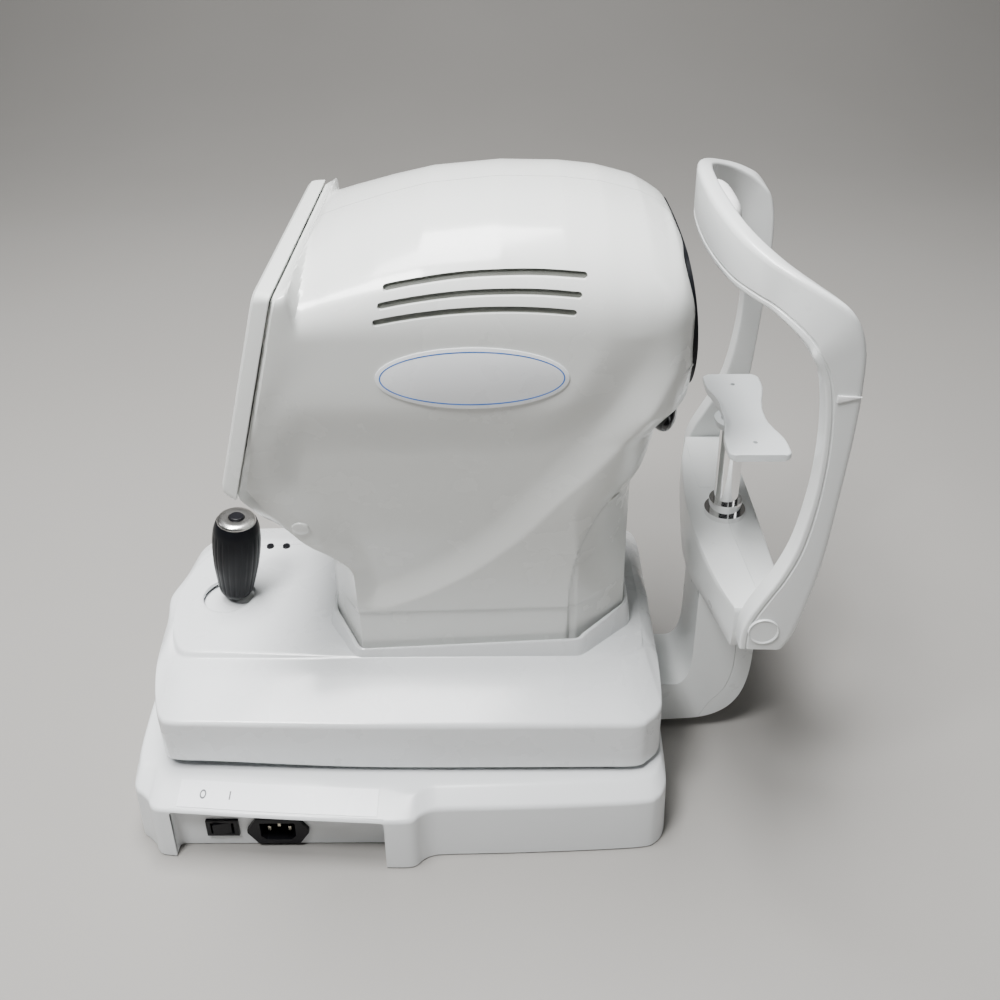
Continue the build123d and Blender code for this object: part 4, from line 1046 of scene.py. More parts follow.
@dataclass
class Stage:
    """Moulded cover of the moving stage, with the plinth round the neck."""

    shop: Workshop
    deck_z: float = 114.0
    skirt_z: float = 95.0
    bottom_z: float = 57.0
    ridge_y: float = 63.0
    stick_x: float = -173.0
    hole_radius: float = 19.0
    wall: float = 2.5
    plinth_z: float = 128.0
    plan_half: tuple[Point, ...] = (
        (-215, 0), (-214.2, -25), (-212.2, -50), (-208.8, -74), (-204, -92), (-199, -101.5), (-191, -105.6),
        (-165, -106.6), (-120, -108.0), (-70, -109.3), (-20, -109.8), (40, -110), (95, -110), (121, -109.6),
        (130, -104.5), (137.0, -97), (139.4, -88), (140, -60), (140, -30), (140, 0),
    )
    neck_plan: tuple[Point, ...] = (
        (-91, 0), (-91, -30), (-69.5, -63.5), (85.5, -63.5), (121.5, -32), (121.5, 0),
    )
    buttons: tuple[Point, ...] = ((-153.5, 57.0), (-140.7, 57.0))

    def profile(self, x: float, y: float) -> list[Vector]:
        """Section from the skirt's foot over the flank to the middle, at one place of the plan."""
        across = min(1.0, abs(y) / 106.0)
        flank = smoothstep(0.55, 0.97, across)
        operator = 1.0 - smoothstep(-207.0, -196.0, x)
        patient = smoothstep(128.0, 139.0, x)
        end = max(operator, patient)
        skirt = self.skirt_z + (self.deck_z - 8.0 - self.skirt_z) * (1.0 - flank) * (1.0 if end > 0 else 0.0)
        lift = 4.0 * smoothstep(0.0, 190.0, -x - 10.0) ** 1.5
        inner_y = y * self.ridge_y / 109.0
        inner_x = -209.0 + (x + 215.0) * (339.0 / 355.0)
        inner_y *= 1.0 - 0.05 * smoothstep(60.0, 200.0, -x)
        step = 3.6 * smoothstep(40.0, 190.0, -x) + 1.7
        step *= smoothstep(0.5, 0.9, across)
        outer = Vector((x, y, 0))
        inner = Vector((inner_x, inner_y, 0))
        back = (outer - inner).normalized()
        low = inner + back * (1.2 + 0.35 * step)
        ledge = inner + back * (9.0 + step)
        fall = step * 0.82
        slope = (self.deck_z - fall - skirt) * 9.0 / max(20.0, (outer - inner).length)
        corners = [
            (x, y, self.bottom_z + lift), (x, y, skirt),
            (ledge.x, ledge.y, self.deck_z - fall - slope * 0.55), (low.x, low.y, self.deck_z - fall),
            (inner.x, inner.y, self.deck_z - 0.15),
            (inner.x * 0.97, inner.y * 0.8, self.deck_z), (inner.x * 0.95, 0.0, self.deck_z),
        ]
        return cornered(corners, [0, 3.0, 6.0, 1.6, 2.2, 6.0, 0], 6, closed=False)

    def cover(self) -> bpy.types.Object:
        """Cover as one open skin with a wall, not yet pierced."""
        plan = both_sides(spline(list(self.plan_half), 6))
        return moulded("stage_cover_skin", [self.profile(point.x, point.y) for point in plan], self.wall)

    def holes(self) -> list[bpy.types.Object]:
        """Cutters for the stick, the two buttons, the neck and the printer's door."""
        round_holes = [(self.stick_x, 0.0, self.hole_radius)] + [(x, y, 3.1) for x, y in self.buttons]
        cutters = []
        for x, y, radius in round_holes:
            mesh = bmesh.new()
            extrude(mesh, oval((x, y), (radius, radius), 64), "z", 100.0, 120.0)
            cutters.append(blank("hole_cutter", mesh))
        mesh = bmesh.new()
        inset = [(x * 0.97, y * 0.955) for x, y in self.neck_plan]
        extrude(mesh, inset + [(x, -y) for x, y in inset[-2:0:-1]], "z", 100.0, 122.0)
        cutters.append(blank("neck_cutter", mesh))
        low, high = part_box("printer_door")
        mesh = bmesh.new()
        slope = [(high.y / MM + 1.3, low.z / MM - 9.0), (high.y / MM + 1.3, low.z / MM + 6.0),
                 (low.y / MM - 2.4, high.z / MM + 6.0), (low.y / MM - 2.4, high.z / MM - 12.0)]
        extrude(mesh, slope, "x", low.x / MM - 0.5, high.x / MM + 0.5)
        cutters.append(blank("door_cutter", mesh))
        return cutters

    def plinth(self) -> bpy.types.Object:
        """Raised band round the neck: a chamfered foot, a wall and a rolled lip."""
        plan = both_sides(cornered(list(self.neck_plan), [0, 5, 5, 5, 5, 0], 4, closed=False))
        centre = Vector((15.0, 0.0))
        curves = []
        for point in plan:
            out = (point - centre).normalized()
            top = self.plinth_z - 9.5 + 7.5 * smoothstep(-30.0, 84.0, point.x)
            top += 6.0 * smoothstep(86.0, 95.0, point.x)
            top += 8.0 * (1.0 - smoothstep(-92.0, -68.0, point.x))
            steps = [(1.6, self.deck_z - 3.0), (1.6, self.deck_z + 0.2), (-0.6, top - 1.0), (-1.0, top - 0.2),
                     (-1.8, top + 0.2), (-3.2, top - 0.1), (-4.0, top - 1.0), (-4.0, self.deck_z - 3.0),
                     (1.6, self.deck_z - 3.0)]
            curves.append([Vector((point.x + out.x * grow, point.y + out.y * grow, z)) for grow, z in steps])
        mesh = bmesh.new()
        skin(mesh, curves)
        tidy(mesh)
        return blank("neck_plinth", mesh)

    def collar(self) -> None:
        """Shallow moulded ring round the joystick's hole."""
        mesh = bmesh.new()
        profile = [(19.0, -2.0), (19.0, 0.1), (19.6, 0.45), (21.5, 0.55), (24.5, 0.1), (24.8, -1.0)]
        turn(mesh, profile + profile[:1], 72)
        bmesh.ops.translate(mesh, verts=mesh.verts, vec=(self.stick_x, 0, self.deck_z))
        self.shop.finish(blank("stick_hole_rim", mesh), "stage", "stage_white")

    def build(self) -> None:
        """Make the cover, the plinth and the rim."""
        cover = self.cover()
        carve(cover, self.holes())
        self.shop.finish(cover, "stage", "stage_white", ("stage_cover",), "stage_white")
        self.shop.finish(self.plinth(), "stage", "stage_white")
        self.collar()


# ---------------------------------------------------------------- joystick

@dataclass
class Joystick:
    """Rubber grip with flutes, its bright cap and the measuring button."""

    shop: Workshop
    pivot: Point = (-173.0, 0.0, 68.0)
    lean_deg: float = 7.0
    foot: float = 51.0
    flutes: int = 22
    flute_depth: float = 0.42

    def leaned(self, mesh: bmesh.types.BMesh) -> None:
        """Lean a piece from upright to the stick's rest angle."""
        matrix = Matrix.Translation(Vector(self.pivot)) @ Matrix.Rotation(math.radians(self.lean_deg), 4, "Y")
        bmesh.ops.transform(mesh, matrix=matrix, verts=mesh.verts)

    def grip(self) -> None:
        """Fuller above its middle, fluted along its length."""
        table = [(0, 11.2), (4, 12.6), (14, 14.3), (26, 16.2), (38, 17.2), (46, 17.4), (53, 17.1), (59, 16.2)]
        outer = [(5.1, 0.0), (9.6, 0.0), (10.8, 0.35), (11.3, 1.3)]
        heights = [1.3 + 57.0 * step / 44 for step in range(1, 45)]
        outer += [(eased(table, height, 3.0), height) for height in heights]
        outer += [
            (15.6, 61.0), (15.0, 62.8), (14.6, 63.9), (14.25, 64.4), (14.05, 64.2), (14.05, 58.2),
            (5.1, 58.2),
        ]
        profile = [(radius, height + self.foot) for radius, height in outer]
        mesh = bmesh.new()
        turn(mesh, profile + profile[:1], self.flutes * 8)
        for vert in mesh.verts:
            radius = math.hypot(vert.co.x, vert.co.y)
            height = vert.co.z - self.foot
            if radius < 11.0 or height > 60.0:
                continue
            wave = math.cos(math.atan2(vert.co.y, vert.co.x) * self.flutes)
            fade = smoothstep(2.5, 7.0, height) * (1.0 - smoothstep(52.0, 57.0, height))
            sunk = self.flute_depth * max(0.0, wave) ** 2 * fade
            vert.co.x *= 1.0 - sunk / radius
            vert.co.y *= 1.0 - sunk / radius
        self.leaned(mesh)
        piece = blank("fluted_grip", mesh)
        self.shop.finish(piece, "grip", "grip_rubber", ("joystick_grip",), "rubber_black", Smooth.SOFT)

    def cap(self) -> None:
        """Bright dished ring."""
        profile = [
            (5.45, 61.0), (5.45, 66.6), (5.9, 67.1), (9.0, 67.4), (12.2, 66.9), (13.4, 65.9), (13.9, 64.6),
            (13.9, 60.0), (5.45, 60.0), (5.45, 61.0),
        ]
        mesh = bmesh.new()
        turn(mesh, [(radius, height + self.foot) for radius, height in profile], 72)
        self.leaned(mesh)
        self.shop.finish(blank("grip_cap_ring", mesh), "grip", "cap_metal", ("joystick_cap",), "chrome")

    def button(self) -> None:
        """Push-button with a shallow dish."""
        profile = [
            (0.0, 62.6), (4.9, 62.6), (5.0, 67.6), (4.7, 68.3), (4.0, 68.6), (2.0, 68.35), (0.0, 68.25),
        ]
        mesh = bmesh.new()
        turn(mesh, [(radius, height + self.foot) for radius, height in profile], 48)
        self.leaned(mesh)
        piece = blank("measuring_button", mesh)
        self.shop.finish(piece, "measure_button", "black_plastic", ("joystick_button",), "black_plastic")

    def build(self) -> None:
        """Make the grip, the cap and the button."""
        self.grip()
        self.cap()
        self.button()


# ---------------------------------------------------------------- base

@dataclass
class Base:
    """Moulded base cover with its socket recess, label plate and switch marks."""

    shop: Workshop
    side_z: float = 44.5
    top_z: float = 52.0
    foot_z: float = 1.2
    recess: Point = (-192.0, -47.5)
    recess_y: float = -125.0
    recess_top: float = 42.5
    well_x: Point = (-95.0, 75.0)
    well_half: float = 66.0
    wall: float = 2.5
    plan_half: tuple[Point, ...] = (
        (-230.5, 0), (-230, -30), (-228.3, -60), (-225.4, -90), (-222, -110), (-219, -117), (-213.5, -121.0),
        (-208.5, -125.5), (-205.5, -130.3), (-201.5, -133.2), (-194, -134.3), (-170, -136.2), (-140, -138.6),
        (-110, -140.6), (-80, -142.3), (-55, -143.7), (-46, -144.2), (-33, -144.2), (-27.5, -142.6),
        (-23, -138.4),
        (-17, -135.4), (-6, -134.4), (40, -133.4), (90, -131.6), (125, -129.4), (135, -126), (141, -118.5),
        (143.6, -106), (145, -70), (145, -35), (145, 0),
    )

    def profile(self, x: float, y: float) -> list[Vector]:
        """Section from the foot over the sloping band to the middle."""
        across = smoothstep(60.0, 118.0, abs(y))
        beside_recess = (1.0 - smoothstep(-52.0, -20.0, x)) * smoothstep(-225.0, -205.0, x)
        inset = 3.0 + 12.0 * across + 9.5 * across * beside_recess
        end = max(1.0 - smoothstep(-228.0, -214.0, x), smoothstep(130.0, 143.0, x))
        shift = Vector((3.0 if x < 0 else -3.0, 0.0)) * end
        side = -1.0 if y < 0 else 1.0
        inner = Vector((x, y)) + shift + Vector((0.0, -side * inset * across))
        lower = Vector((x, y)) + shift * 0.25 + Vector((0.0, -side * 1.3 * across))
        corners = [
            (x, y, self.foot_z), (lower.x, lower.y, self.side_z - 0.4), (inner.x, inner.y, self.top_z - 0.4),
            (inner.x * 0.97, inner.y * 0.9, self.top_z), (inner.x * 0.93, 0.0, self.top_z),
        ]
        return cornered(corners, [0, 2.6, 2.6, 4.0, 0], 5, closed=False)

    def band_point(self, x: float, share: float, lift: float) -> Vector:
        """Point of the near sloping band, by its place along X and its share of the band's width."""
        near_side = [pair for pair in self.plan_half if pair[0] > -219]
        outline = [(point.x, point.y) for point in spline(near_side, 5)]
        section = self.profile(x, along(outline, x))
        low, high = section[6], section[7]
        normal = (high - low).cross(Vector((1.0, 0.06, 0.0))).normalized()
        normal = normal if normal.z > 0 else -normal
        return low.lerp(high, share) + normal * lift

    def cover(self) -> bpy.types.Object:
        """Cover as one open skin with a wall, cut for the recess and the well."""
        plan = both_sides(spline(list(self.plan_half), 5))
        cover = moulded("base_cover_skin", [self.profile(point.x, point.y) for point in plan], self.wall)
        cutter = bmesh.new()
        left, right = self.recess
        corners = [(left, -5.0), (left, self.recess_top), (right, self.recess_top), (right, -5.0)]
        outline = cornered(corners, [0, 3.0, 3.0, 0])
        extrude(cutter, outline, "y", -160.0, self.recess_y)
        well = bmesh.new()
        corners = [(self.well_x[0], -self.well_half), (self.well_x[1], -self.well_half),
                   (self.well_x[1], self.well_half), (self.well_x[0], self.well_half)]
        extrude(well, cornered(corners, [8.0] * 4), "z", 46.0, 60.0)
        carve(cover, [blank("recess_cutter", cutter), blank("well_cutter", well)])
        return cover

    def recess_liner(self) -> bpy.types.Object:
        """Walls of the recess: back with two cut-outs, ends and roof, with rounded inner corners."""
        mesh = bmesh.new()
        left, right = self.recess
        back = self.recess_y
        outer_y = {left: -132.6, right: -142.0}
        path = [(left, outer_y[left]), (left, back), (right, back), (right, outer_y[right])]
        line = cornered(path, [0, 3.5, 3.5, 0], 5, closed=False)
        rows = []
        for point in line:
            heights = (self.foot_z, self.recess_top - 2.5, self.recess_top)
            rows.append([Vector((point.x, point.y, z)) for z in heights])
        skin(mesh, rows)
        roof = [Vector((point.x, point.y, self.recess_top)) for point in line]
        rim = [Vector((left + (right - left) * index / (len(line) - 1), 0, self.recess_top))
               for index in range(len(line))]
        for point in rim:
            point.y = -131.5 - 10.0 * (point.x - left) / (right - left)
        skin(mesh, [roof, rim])
        bmesh.ops.remove_doubles(mesh, verts=mesh.verts, dist=0.01)
        look_towards(mesh, (0, -1, 0), max(mesh.faces, key=lambda face: face.calc_area()))
        liner = blank("socket_recess_walls", mesh)
        solidify(liner, 2.2)
        cutters = []
        for centre, half in (((-160.5, 18.5), (9.6, 6.5)), ((-122.7, 16.0), (13.6, 9.1))):
            hole = bmesh.new()
            x, z = centre
            corners = [(x - half[0], z - half[1]), (x + half[0], z - half[1]), (x + half[0], z + half[1]),
                       (x - half[0], z + half[1])]
            extrude(hole, corners, "y", -130.0, -118.0)
            cutters.append(blank("socket_cutter", hole))
        carve(liner, cutters)
        return liner

    def label(self) -> None:
        """White plate that follows the band, with its O and I marks."""
        mesh = bmesh.new()
        columns = 46
        rows = []
        for index in range(columns + 1):
            x = -187.0 + 135.0 * index / columns
            rows.append([self.band_point(x, 0.03 + 0.94 * step / 6, 0.45) for step in range(7)])
        skin(mesh, rows)
        look_towards(mesh, (0, 0, 1))
        plate = blank("port_label_plate", mesh)
        solidify(plate, 0.9)
        self.shop.finish(plate, "base", "label_white", ("port_label",), "label_white")
        marks = bmesh.new()
        lift = 0.52
        turns = [math.tau * step / 32 for step in range(33)]
        ring = [
            [
                self.band_point(-170.5 + radius * math.cos(a), 0.5 + radius * 0.075 * math.sin(a), lift)
                for a in turns
            ]
            for radius in (2.2, 1.35)
        ]
        skin(marks, ring)
        bar = [[self.band_point(x, share, lift) for share in (0.36, 0.66)] for x in (-152.5, -151.6)]
        skin(marks, bar)
        bmesh.ops.remove_doubles(marks, verts=marks.verts, dist=0.01)
        for face in marks.faces:
            face.normal_update()
        bmesh.ops.reverse_faces(marks, faces=[face for face in marks.faces if face.normal.z < 0])
        piece = blank("switch_marks", marks)
        solidify(piece, 0.12)
        self.shop.finish(piece, "base", "ink_grey")

    def build(self) -> None:
        """Make the cover, the recess and the label."""
        self.shop.finish(self.cover(), "base", "base_white", ("base_cover",), "base_white")
        self.shop.finish(self.recess_liner(), "base", "base_white")
        self.label()


# ---------------------------------------------------------------- chin rest

@dataclass
class ChinRest:
    """Arm, crossbar, chin plate and forehead frame."""

    shop: Workshop
    neck_half: float = 27.0
    half_seam: float = 0.16
    bar_top: float = 187.0
    cap_at: Point = (193.0, 182.0)
    chin_top: float = 269.5
    seam_line: tuple[Point, ...] = ((201, 156), (202, 100), (202, 66), (197, 44), (186, 28), (178, 10))
    pillar_stations: tuple[Point, ...] = (
        (207, 166.5, 179.5, 167.5), (211.5, 175, 180, 181), (215.5, 189, 183.5, 193), (219, 206, 191, 208),
        (222, 222, 199, 224),
        (225, 247, 206.5, 247), (228, 290, 211.7, 283), (230, 325, 212.6, 315), (230.3, 352, 210.5, 342),
        (229, 374, 206.5, 360), (224.5, 389, 200.5, 371),
    )
    corner_stations: tuple[Point, ...] = (
        (217.5, -115.3, 400, 198.5, -113.5, 376, 196.5, -99.8, 376, 214, -101, 400),
        (206.5, -111.8, 407, 193, -109.3, 382, 191, -96, 382, 203.5, -97.5, 407),
        (196, -106.4, 412, 187, -103, 386.5, 187, -90, 386.5, 195, -92.4, 412),
        (186, -99, 416, 180.5, -94, 390, 183.5, -81, 390, 188, -85.5, 416),
    )
    band_stations: tuple[Point, ...] = (
        (174, 86.5, 180, 73.5, 421, 392), (165.3, 68, 173.5, 58.5, 425.5, 393.2),
        (160.5, 46, 170, 41, 428.3, 394),
        (158.3, 23, 168.4, 21, 429.6, 394), (157.6, 0, 167.8, 0, 430, 394),
    )

    def arm_outline(self) -> list[Vector]:
        """Side view of the arm, from the base's end round to the crossbar."""
        points = [(145.2, 11.2), (196, 14.5), (217, 50), (212, 157.5), (172, 157.5), (171, 48), (145.2, 48)]
        return cornered(points, [0.5, 34, 44, 0.5, 0.5, 30, 0.5], 12)

    def arm(self) -> None:
        """Arm in two solid halves: the shell and the rear cover, apart by a fine seam."""
        rear = [tuple(point) for point in spline(list(self.seam_line), 6)]
        rear += [(178, -10), (250, -10), (250, 170), (201, 170)]
        halves = [("arm_shell", "neck_shell", "DIFFERENCE"), ("arm_rear_cover", "neck_cover", "INTERSECT")]
        for name, node, operation in halves:
            mesh = bmesh.new()
            extrude(mesh, self.arm_outline(), "y", -self.neck_half, self.neck_half)
            round_edges(mesh, 4.5, 60.0, 5)
            piece = blank(name, mesh)
            cutter = bmesh.new()
            grow = self.half_seam if operation == "DIFFERENCE" else -self.half_seam
            extrude(cutter, [(x - grow, z) for x, z in rear], "y", -40.0, 40.0)
            carve(piece, [blank("seam_cutter", cutter)], operation)
            self.shop.finish(piece, "base", "arm_white", (node,), "arm_white")

    def bar_plan(self, inset: float) -> list[Vector]:
        """Crossbar's plan, bowed towards the machine."""
        half = [
            (178, -101 + inset), (170.5 + inset, -72), (166.3 + inset, -40), (164.2 + inset, -14),
            (164.0 + inset, 0),
        ]
        machine = spline(half + [(x, -y) for x, y in half[-2::-1]], 4)
        rear = [(212 - inset, 101 - inset), (212.6 - inset, 60), (213 - inset, 0), (212.6 - inset, -60),
                (212 - inset, -101 + inset)]
        return machine + spline(rear, 4)

    def crossbar(self) -> None:
        """Crossbar: rounded top edges, a belly that deepens towards the arm."""
        levels = [
            (3.0, 0.0), (0.9, 0.5), (0.2, 1.8), (0.0, 4.0), (0.0, 22.0), (0.6, 30.0), (2.2, 32.4),
            (5.5, 33.0),
        ]
        rings = []
        for inset, drop in levels:
            ring = []
            for point in self.bar_plan(inset):
                deepen = 1.0 + 0.42 * math.exp(-((point.y / 44.0) ** 2)) * smoothstep(4.0, 30.0, drop)
                z = self.bar_top - drop * deepen
                ring.append(Vector((point.x, point.y, z)))
            rings.append(ring + ring[:1])
        mesh = bmesh.new()
        skin(mesh, rings)
        tidy(mesh)
        fill_holes(mesh)
        piece = blank("chin_crossbar", mesh)
        bore = bmesh.new()
        extrude(bore, oval((190.0, 0.0), (11.5, 11.5), 48), "z", 120.0, 200.0)
        cutters = [blank("bore_cutter", bore)]
        seams = [
            [(191.2, -11), (190.8, -11), (190.8, -24), (196.0, -98.0), (196.4, -98.0), (191.2, -24)],
            [(176.5, 30.0), (204.0, 30.0), (204.0, 30.4), (176.9, 30.4), (176.9, 92), (176.5, 92)],
        ]
        for outline in seams:
            line = bmesh.new()
            extrude(line, outline, "z", self.bar_top - 0.6, 190.0)
            cutters.append(blank("seam_cutter", line))
        carve(piece, cutters)
        self.shop.finish(piece, "base", "arm_white", ("chin_bar", "bar_cover"), "arm_white")

    def frame_rings(self) -> list[list[Vector]]:
        """Sections of the forehead frame from the near foot over the band to the far foot."""
        near = []
        for rear_x, rear_z, front_x, front_z in self.pillar_stations:
            near.append((
                rear_x, -116.0, rear_z, front_x, -116.0, front_z,
                front_x, -101.5, front_z, rear_x, -101.5, rear_z,
            ))
        near += list(self.corner_stations)
        for out_x, out_y, in_x, in_y, top, low in self.band_stations:
            near.append((out_x, -out_y, top, out_x, -out_y, low, in_x, -in_y, low, in_x, -in_y, top))
        mirror = []
        for row in near[-2::-1]:
            mirror.append(tuple(-value if index % 3 == 1 else value for index, value in enumerate(row)))
        rings = []
        for row in spline(near + mirror, 5):
            corners = [Vector(row[start:start + 3]) for start in (0, 3, 6, 9)]
            rings.append(self.frame_section(corners))
        return rings

    def frame_section(self, corners: list[Vector]) -> list[Vector]:
        """Rounded four-sided section with a shallow groove near its front edge, on the outer face."""
        rear_out, front_out, front_in, rear_in = corners
        wide = (front_out - rear_out).normalized()
        thick = (front_in - front_out).normalized()
        span = (front_out - rear_out).length
        groove = [
            rear_out + wide * (span - 5.2), rear_out + wide * (span - 4.7) + thick * 1.0,
            rear_out + wide * (span - 3.9) + thick * 1.0, rear_out + wide * (span - 3.3) + thick * 0.1,
        ]
        ring = self.corner(rear_in, rear_out, groove[0], 4.5) + groove
        ring += self.corner(groove[-1], front_out, front_in, 1.8)
        ring += self.corner(front_out, front_in, rear_in, 2.2)
        ring += self.corner(front_in, rear_in, rear_out, 2.6)
        return ring + ring[:1]

    def corner(self, before: Vector, node: Vector, after: Vector, reach: float) -> list[Vector]:
        """Rounded corner between two sides."""
        start = node + (before - node).normalized() * reach
        end = node + (after - node).normalized() * reach
        steps = 4
        return [start * (1 - t) ** 2 + node * 2 * t * (1 - t) + end * t ** 2
                for t in (step / steps for step in range(steps + 1))]

    def forehead(self) -> None:
        """Frame with a groove along its outer face."""
        mesh = bmesh.new()
        skin(mesh, self.frame_rings())
        tidy(mesh)
        fill_holes(mesh)
        piece = blank("forehead_frame_body", mesh)
        self.shop.finish(piece, "base", "arm_white", ("forehead_frame",), "arm_white")

    def caps(self) -> None:
        """Screw covers at the feet, with a raised rim."""
        mesh = bmesh.new()
        profile = [(0.0, -0.4), (8.2, -0.4), (8.6, 0.1), (9.2, 0.3), (9.5, -0.2), (9.5, -2.0), (0.0, -2.0)]
        for side in (-1.0, 1.0):
            part = bmesh.new()
            turn(part, profile, 56)
            place = Matrix.Translation((self.cap_at[0], side * 117.0, self.cap_at[1]))
            turned = place @ Matrix.Rotation(-side * math.pi / 2, 4, "X")
            bmesh.ops.transform(part, matrix=turned, verts=part.verts)
            pour(part, mesh)
        self.shop.finish(blank("pillar_caps", mesh), "base", "arm_white", ("frame_caps",), "arm_white")

    def marks(self) -> None:
        """Wedge marks at eye height, copied from the frame's node with soft edges."""
        mesh = bmesh.new()
        mesh.from_mesh(self.shop.frame["nodes"]["eye_marks"].data)
        bmesh.ops.scale(mesh, vec=(1000, 1000, 1000), verts=mesh.verts)
        tidy(mesh)
        bmesh.ops.dissolve_limit(mesh, angle_limit=math.radians(1.0), verts=mesh.verts, edges=mesh.edges)
        round_edges(mesh, 0.2, 40.0, 2)
        self.shop.finish(blank("eye_height_marks", mesh), "base", "mark_grey", ("eye_marks",), "mark_grey")

    def pad(self) -> None:
        """Soft forehead pad, crowned towards the patient."""
        curves = []
        half, low, high = 30.0, 398.5, 427.5
        back = [(168.75, -30), (168.1, -15), (167.95, 0), (168.1, 15), (168.75, 30)]
        line = spline(back, 8)
        for index, point in enumerate(line):
            share = 2.0 * index / (len(line) - 1) - 1.0
            full = (1.0 - abs(share) ** 3.2) ** 0.5 if abs(share) < 1 else 0.0
            ring = []
            for step in range(33):
                angle = math.tau * step / 32
                rise = math.sin(angle)
                deep = max(0.0, math.cos(angle))
                height = (high - low) / 2 * (0.55 + 0.45 * full)
                z = (low + high) / 2 + height * math.copysign(abs(rise) ** 0.7, rise)
                x = point.x + 0.1 + (10.0 * full + 0.2) * deep ** 0.75
                ring.append(Vector((x, point.y * (half - 0.4) / half, z)))
            curves.append(ring)
        mesh = bmesh.new()
        skin(mesh, curves)
        tidy(mesh)
        fill_holes(mesh)
        piece = blank("forehead_cushion", mesh)
        self.shop.finish(piece, "base", "pad_white", ("forehead_pad",), "pad_white", Smooth.SOFT)

    def chin_plate(self) -> None:
        """Waisted plate, dished in the middle, with a lip on the machine side and two pin holes."""
        side = [(176.8, -53), (176.8, -34), (179.2, -22), (181.5, -10), (181.9, 0)]
        left = side + [(x, -y) for x, y in side[-2::-1]]
        right = [(216.8, 53), (216.8, 36), (213.6, 22), (211.2, 10), (210.8, 0)]
        right += [(x, -y) for x, y in right[-2::-1]]
        rows = []
        count = 61
        left_line, right_line = spline(left, 8), spline(right[::-1], 8)
        for index in range(count):
            y = -52.8 + 105.6 * index / (count - 1)
            edge = 53.0 - abs(y)
            pinch = 4.0 * max(0.0, 1.0 - edge / 4.0) ** 2
            near = min(left_line, key=lambda point: abs(point.y - y)).x + pinch
            far = min(right_line, key=lambda point: abs(point.y - y)).x - pinch
            dish = 2.2 * math.exp(-((y / 20.0) ** 2))
            lip = 2.6 * math.exp(-(((abs(y) - 16.0) / 14.0) ** 2)) + 0.8 * math.exp(-((y / 20.0) ** 2))
            top, bottom = self.chin_top - dish, self.chin_top - 5.0 - dish * 0.3
            corners = [
                (near, y, top + min(lip, 1.6 + dish)), (near + 3.2, y, top + 0.2), (far, y, top),
                (far, y, bottom), (near, y, bottom),
            ]
            ring = cornered(corners, [0.9, 2.0, 1.8, 1.8, 1.8], 4)
            rows.append(ring + ring[:1])
        mesh = bmesh.new()
        skin(mesh, rows)
        tidy(mesh)
        fill_holes(mesh)
        piece = blank("chin_rest_plate", mesh)
        cutters = []
        for y in (-38.0, 38.0):
            pin = bmesh.new()
            extrude(pin, oval((196.0, y), (1.6, 1.6), 24), "z", 255.0, 280.0)
            cutters.append(blank("pin_cutter", pin))
        carve(piece, cutters)
        boss = bmesh.new()
        profile = [
            (8.6, -8.0), (11.0, -8.0), (12.0, -7.2), (13.2, -3.6), (13.2, -2.0), (8.6, -2.0), (8.6, -8.0),
        ]
        turn(boss, profile, 48)
        bmesh.ops.translate(boss, verts=boss.verts, vec=(190.0, 0, self.chin_top - 2.4))
        joined = copied(piece)
        pour(boss, joined)
        joined.to_mesh(piece.data)
        joined.free()
        self.shop.finish(piece, "chin_rest", "chin_white", ("chin_plate",), "chin_white")

    def build(self) -> None:
        """Make every piece of the chin rest."""
        self.arm()
        self.crossbar()
        self.forehead()
        self.caps()
        self.marks()
        self.pad()
        self.chin_plate()


# ---------------------------------------------------------------- studio

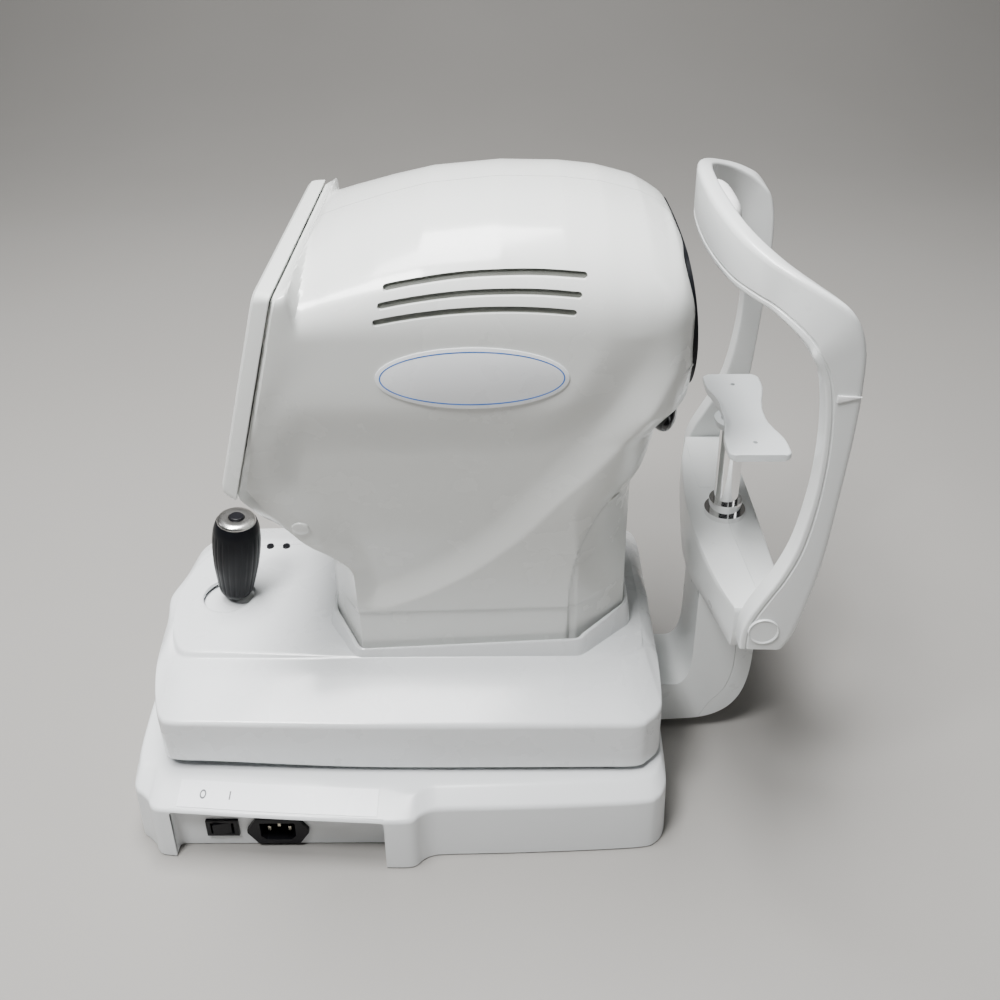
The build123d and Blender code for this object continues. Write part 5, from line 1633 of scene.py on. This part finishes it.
@dataclass
class Studio:
    """Floor, lights and camera."""

    camera_at: Point = (0.038, -0.6092, 0.6368)
    pitch_deg: float = 27.36
    yaw_deg: float = -0.577
    roll_deg: float = 0.77
    lens_mm: float = 37.706
    shift_y: float = -0.1542

    def camera(self) -> None:
        """Camera in front of the machine's side, looking down on it."""
        pitch, yaw, roll = (math.radians(angle) for angle in (self.pitch_deg, self.yaw_deg, self.roll_deg))
        ahead = Vector((math.sin(yaw) * math.cos(pitch), math.cos(yaw) * math.cos(pitch), -math.sin(pitch)))
        flat = Vector((math.cos(yaw), -math.sin(yaw), 0.0))
        dip = ahead.cross(flat)
        right = flat * math.cos(roll) + dip * math.sin(roll)
        down = dip * math.cos(roll) - flat * math.sin(roll)
        matrix = Matrix((right, -down, -ahead)).transposed().to_4x4()
        matrix.translation = Vector(self.camera_at)
        data = bpy.data.cameras.new("camera")
        data.lens = self.lens_mm
        data.shift_y = self.shift_y
        made = bpy.data.objects.new("camera", data)
        made.matrix_world = matrix
        bpy.context.scene.collection.objects.link(made)
        bpy.context.scene.camera = made

    def light(self, name: str, place: Point, target: Point, size: Point, power: float) -> None:
        """One soft rectangular light."""
        data = bpy.data.lights.new(name, "AREA")
        data.shape = "RECTANGLE"
        data.size, data.size_y = size
        data.energy = power
        made = bpy.data.objects.new(name, data)
        made.location = place
        made.rotation_euler = (Vector(target) - Vector(place)).to_track_quat("-Z", "Y").to_euler()
        bpy.context.scene.collection.objects.link(made)

    def floor(self) -> None:
        """Pale floor that curves up behind into a backdrop."""
        section = cornered([(-6.0, 0.0), (2.4, 0.0), (2.4, 4.0)], [0, 1.2, 0], 16, closed=False)
        mesh = bmesh.new()
        skin(mesh, [[Vector((x, y, z)) for y, z in section] for x in (-7.0, 7.0)])
        look_towards(mesh, (0, 0, 1))
        piece = blank("studio_floor", mesh)
        graph = Graph("studio_pale")
        cloud = graph.noise(400.0, 2.0)
        colour = graph.blend(cloud, tone(0.29, 0.28, 0.265), tone(0.32, 0.31, 0.295))
        graph.set(Base_Color=colour, Roughness=0.75)
        piece.data.materials.append(graph.material)
        piece.data.shade_smooth()

    def build(self) -> None:
        """Set the stage."""
        self.camera()
        self.floor()
        self.light("overhead", (-0.2, 0.05, 1.8), (0.0, 0.0, 0.2), (1.0, 0.6), 66.0)
        self.light("key_left", (-0.55, -0.78, 1.9), (0.0, 0.0, 0.25), (0.45, 0.4), 40.0)
        self.light("window_left", (-1.8, 0.1, 1.3), (0.0, 0.0, 0.25), (0.7, 1.0), 2.0)
        self.light("front_fill", (0.3, -2.2, 0.8), (0.0, 0.0, 0.2), (1.6, 1.2), 0.3)
        self.light("right_strip", (1.4, -0.4, 1.2), (0.1, 0.0, 0.35), (0.35, 1.1), 3.0)
        world = bpy.data.worlds.new("studio")
        world.use_nodes = True
        world.node_tree.nodes["Background"].inputs[0].default_value = tone(0.93, 0.96, 1.0)
        world.node_tree.nodes["Background"].inputs[1].default_value = 0.03
        bpy.context.scene.world = world


def main() -> None:
    """Build the looks in order."""
    logging.basicConfig(level=logging.INFO, format="%(message)s")
    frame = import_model()
    shop = Workshop(frame)
    shop.mix_paints()
    Studio().build()
    shop.dress_frame()
    Base(shop).build()
    Stage(shop).build()
    Joystick(shop).build()
    Head(shop).build()
    ChinRest(shop).build()


if __name__ == "__main__":
    main()
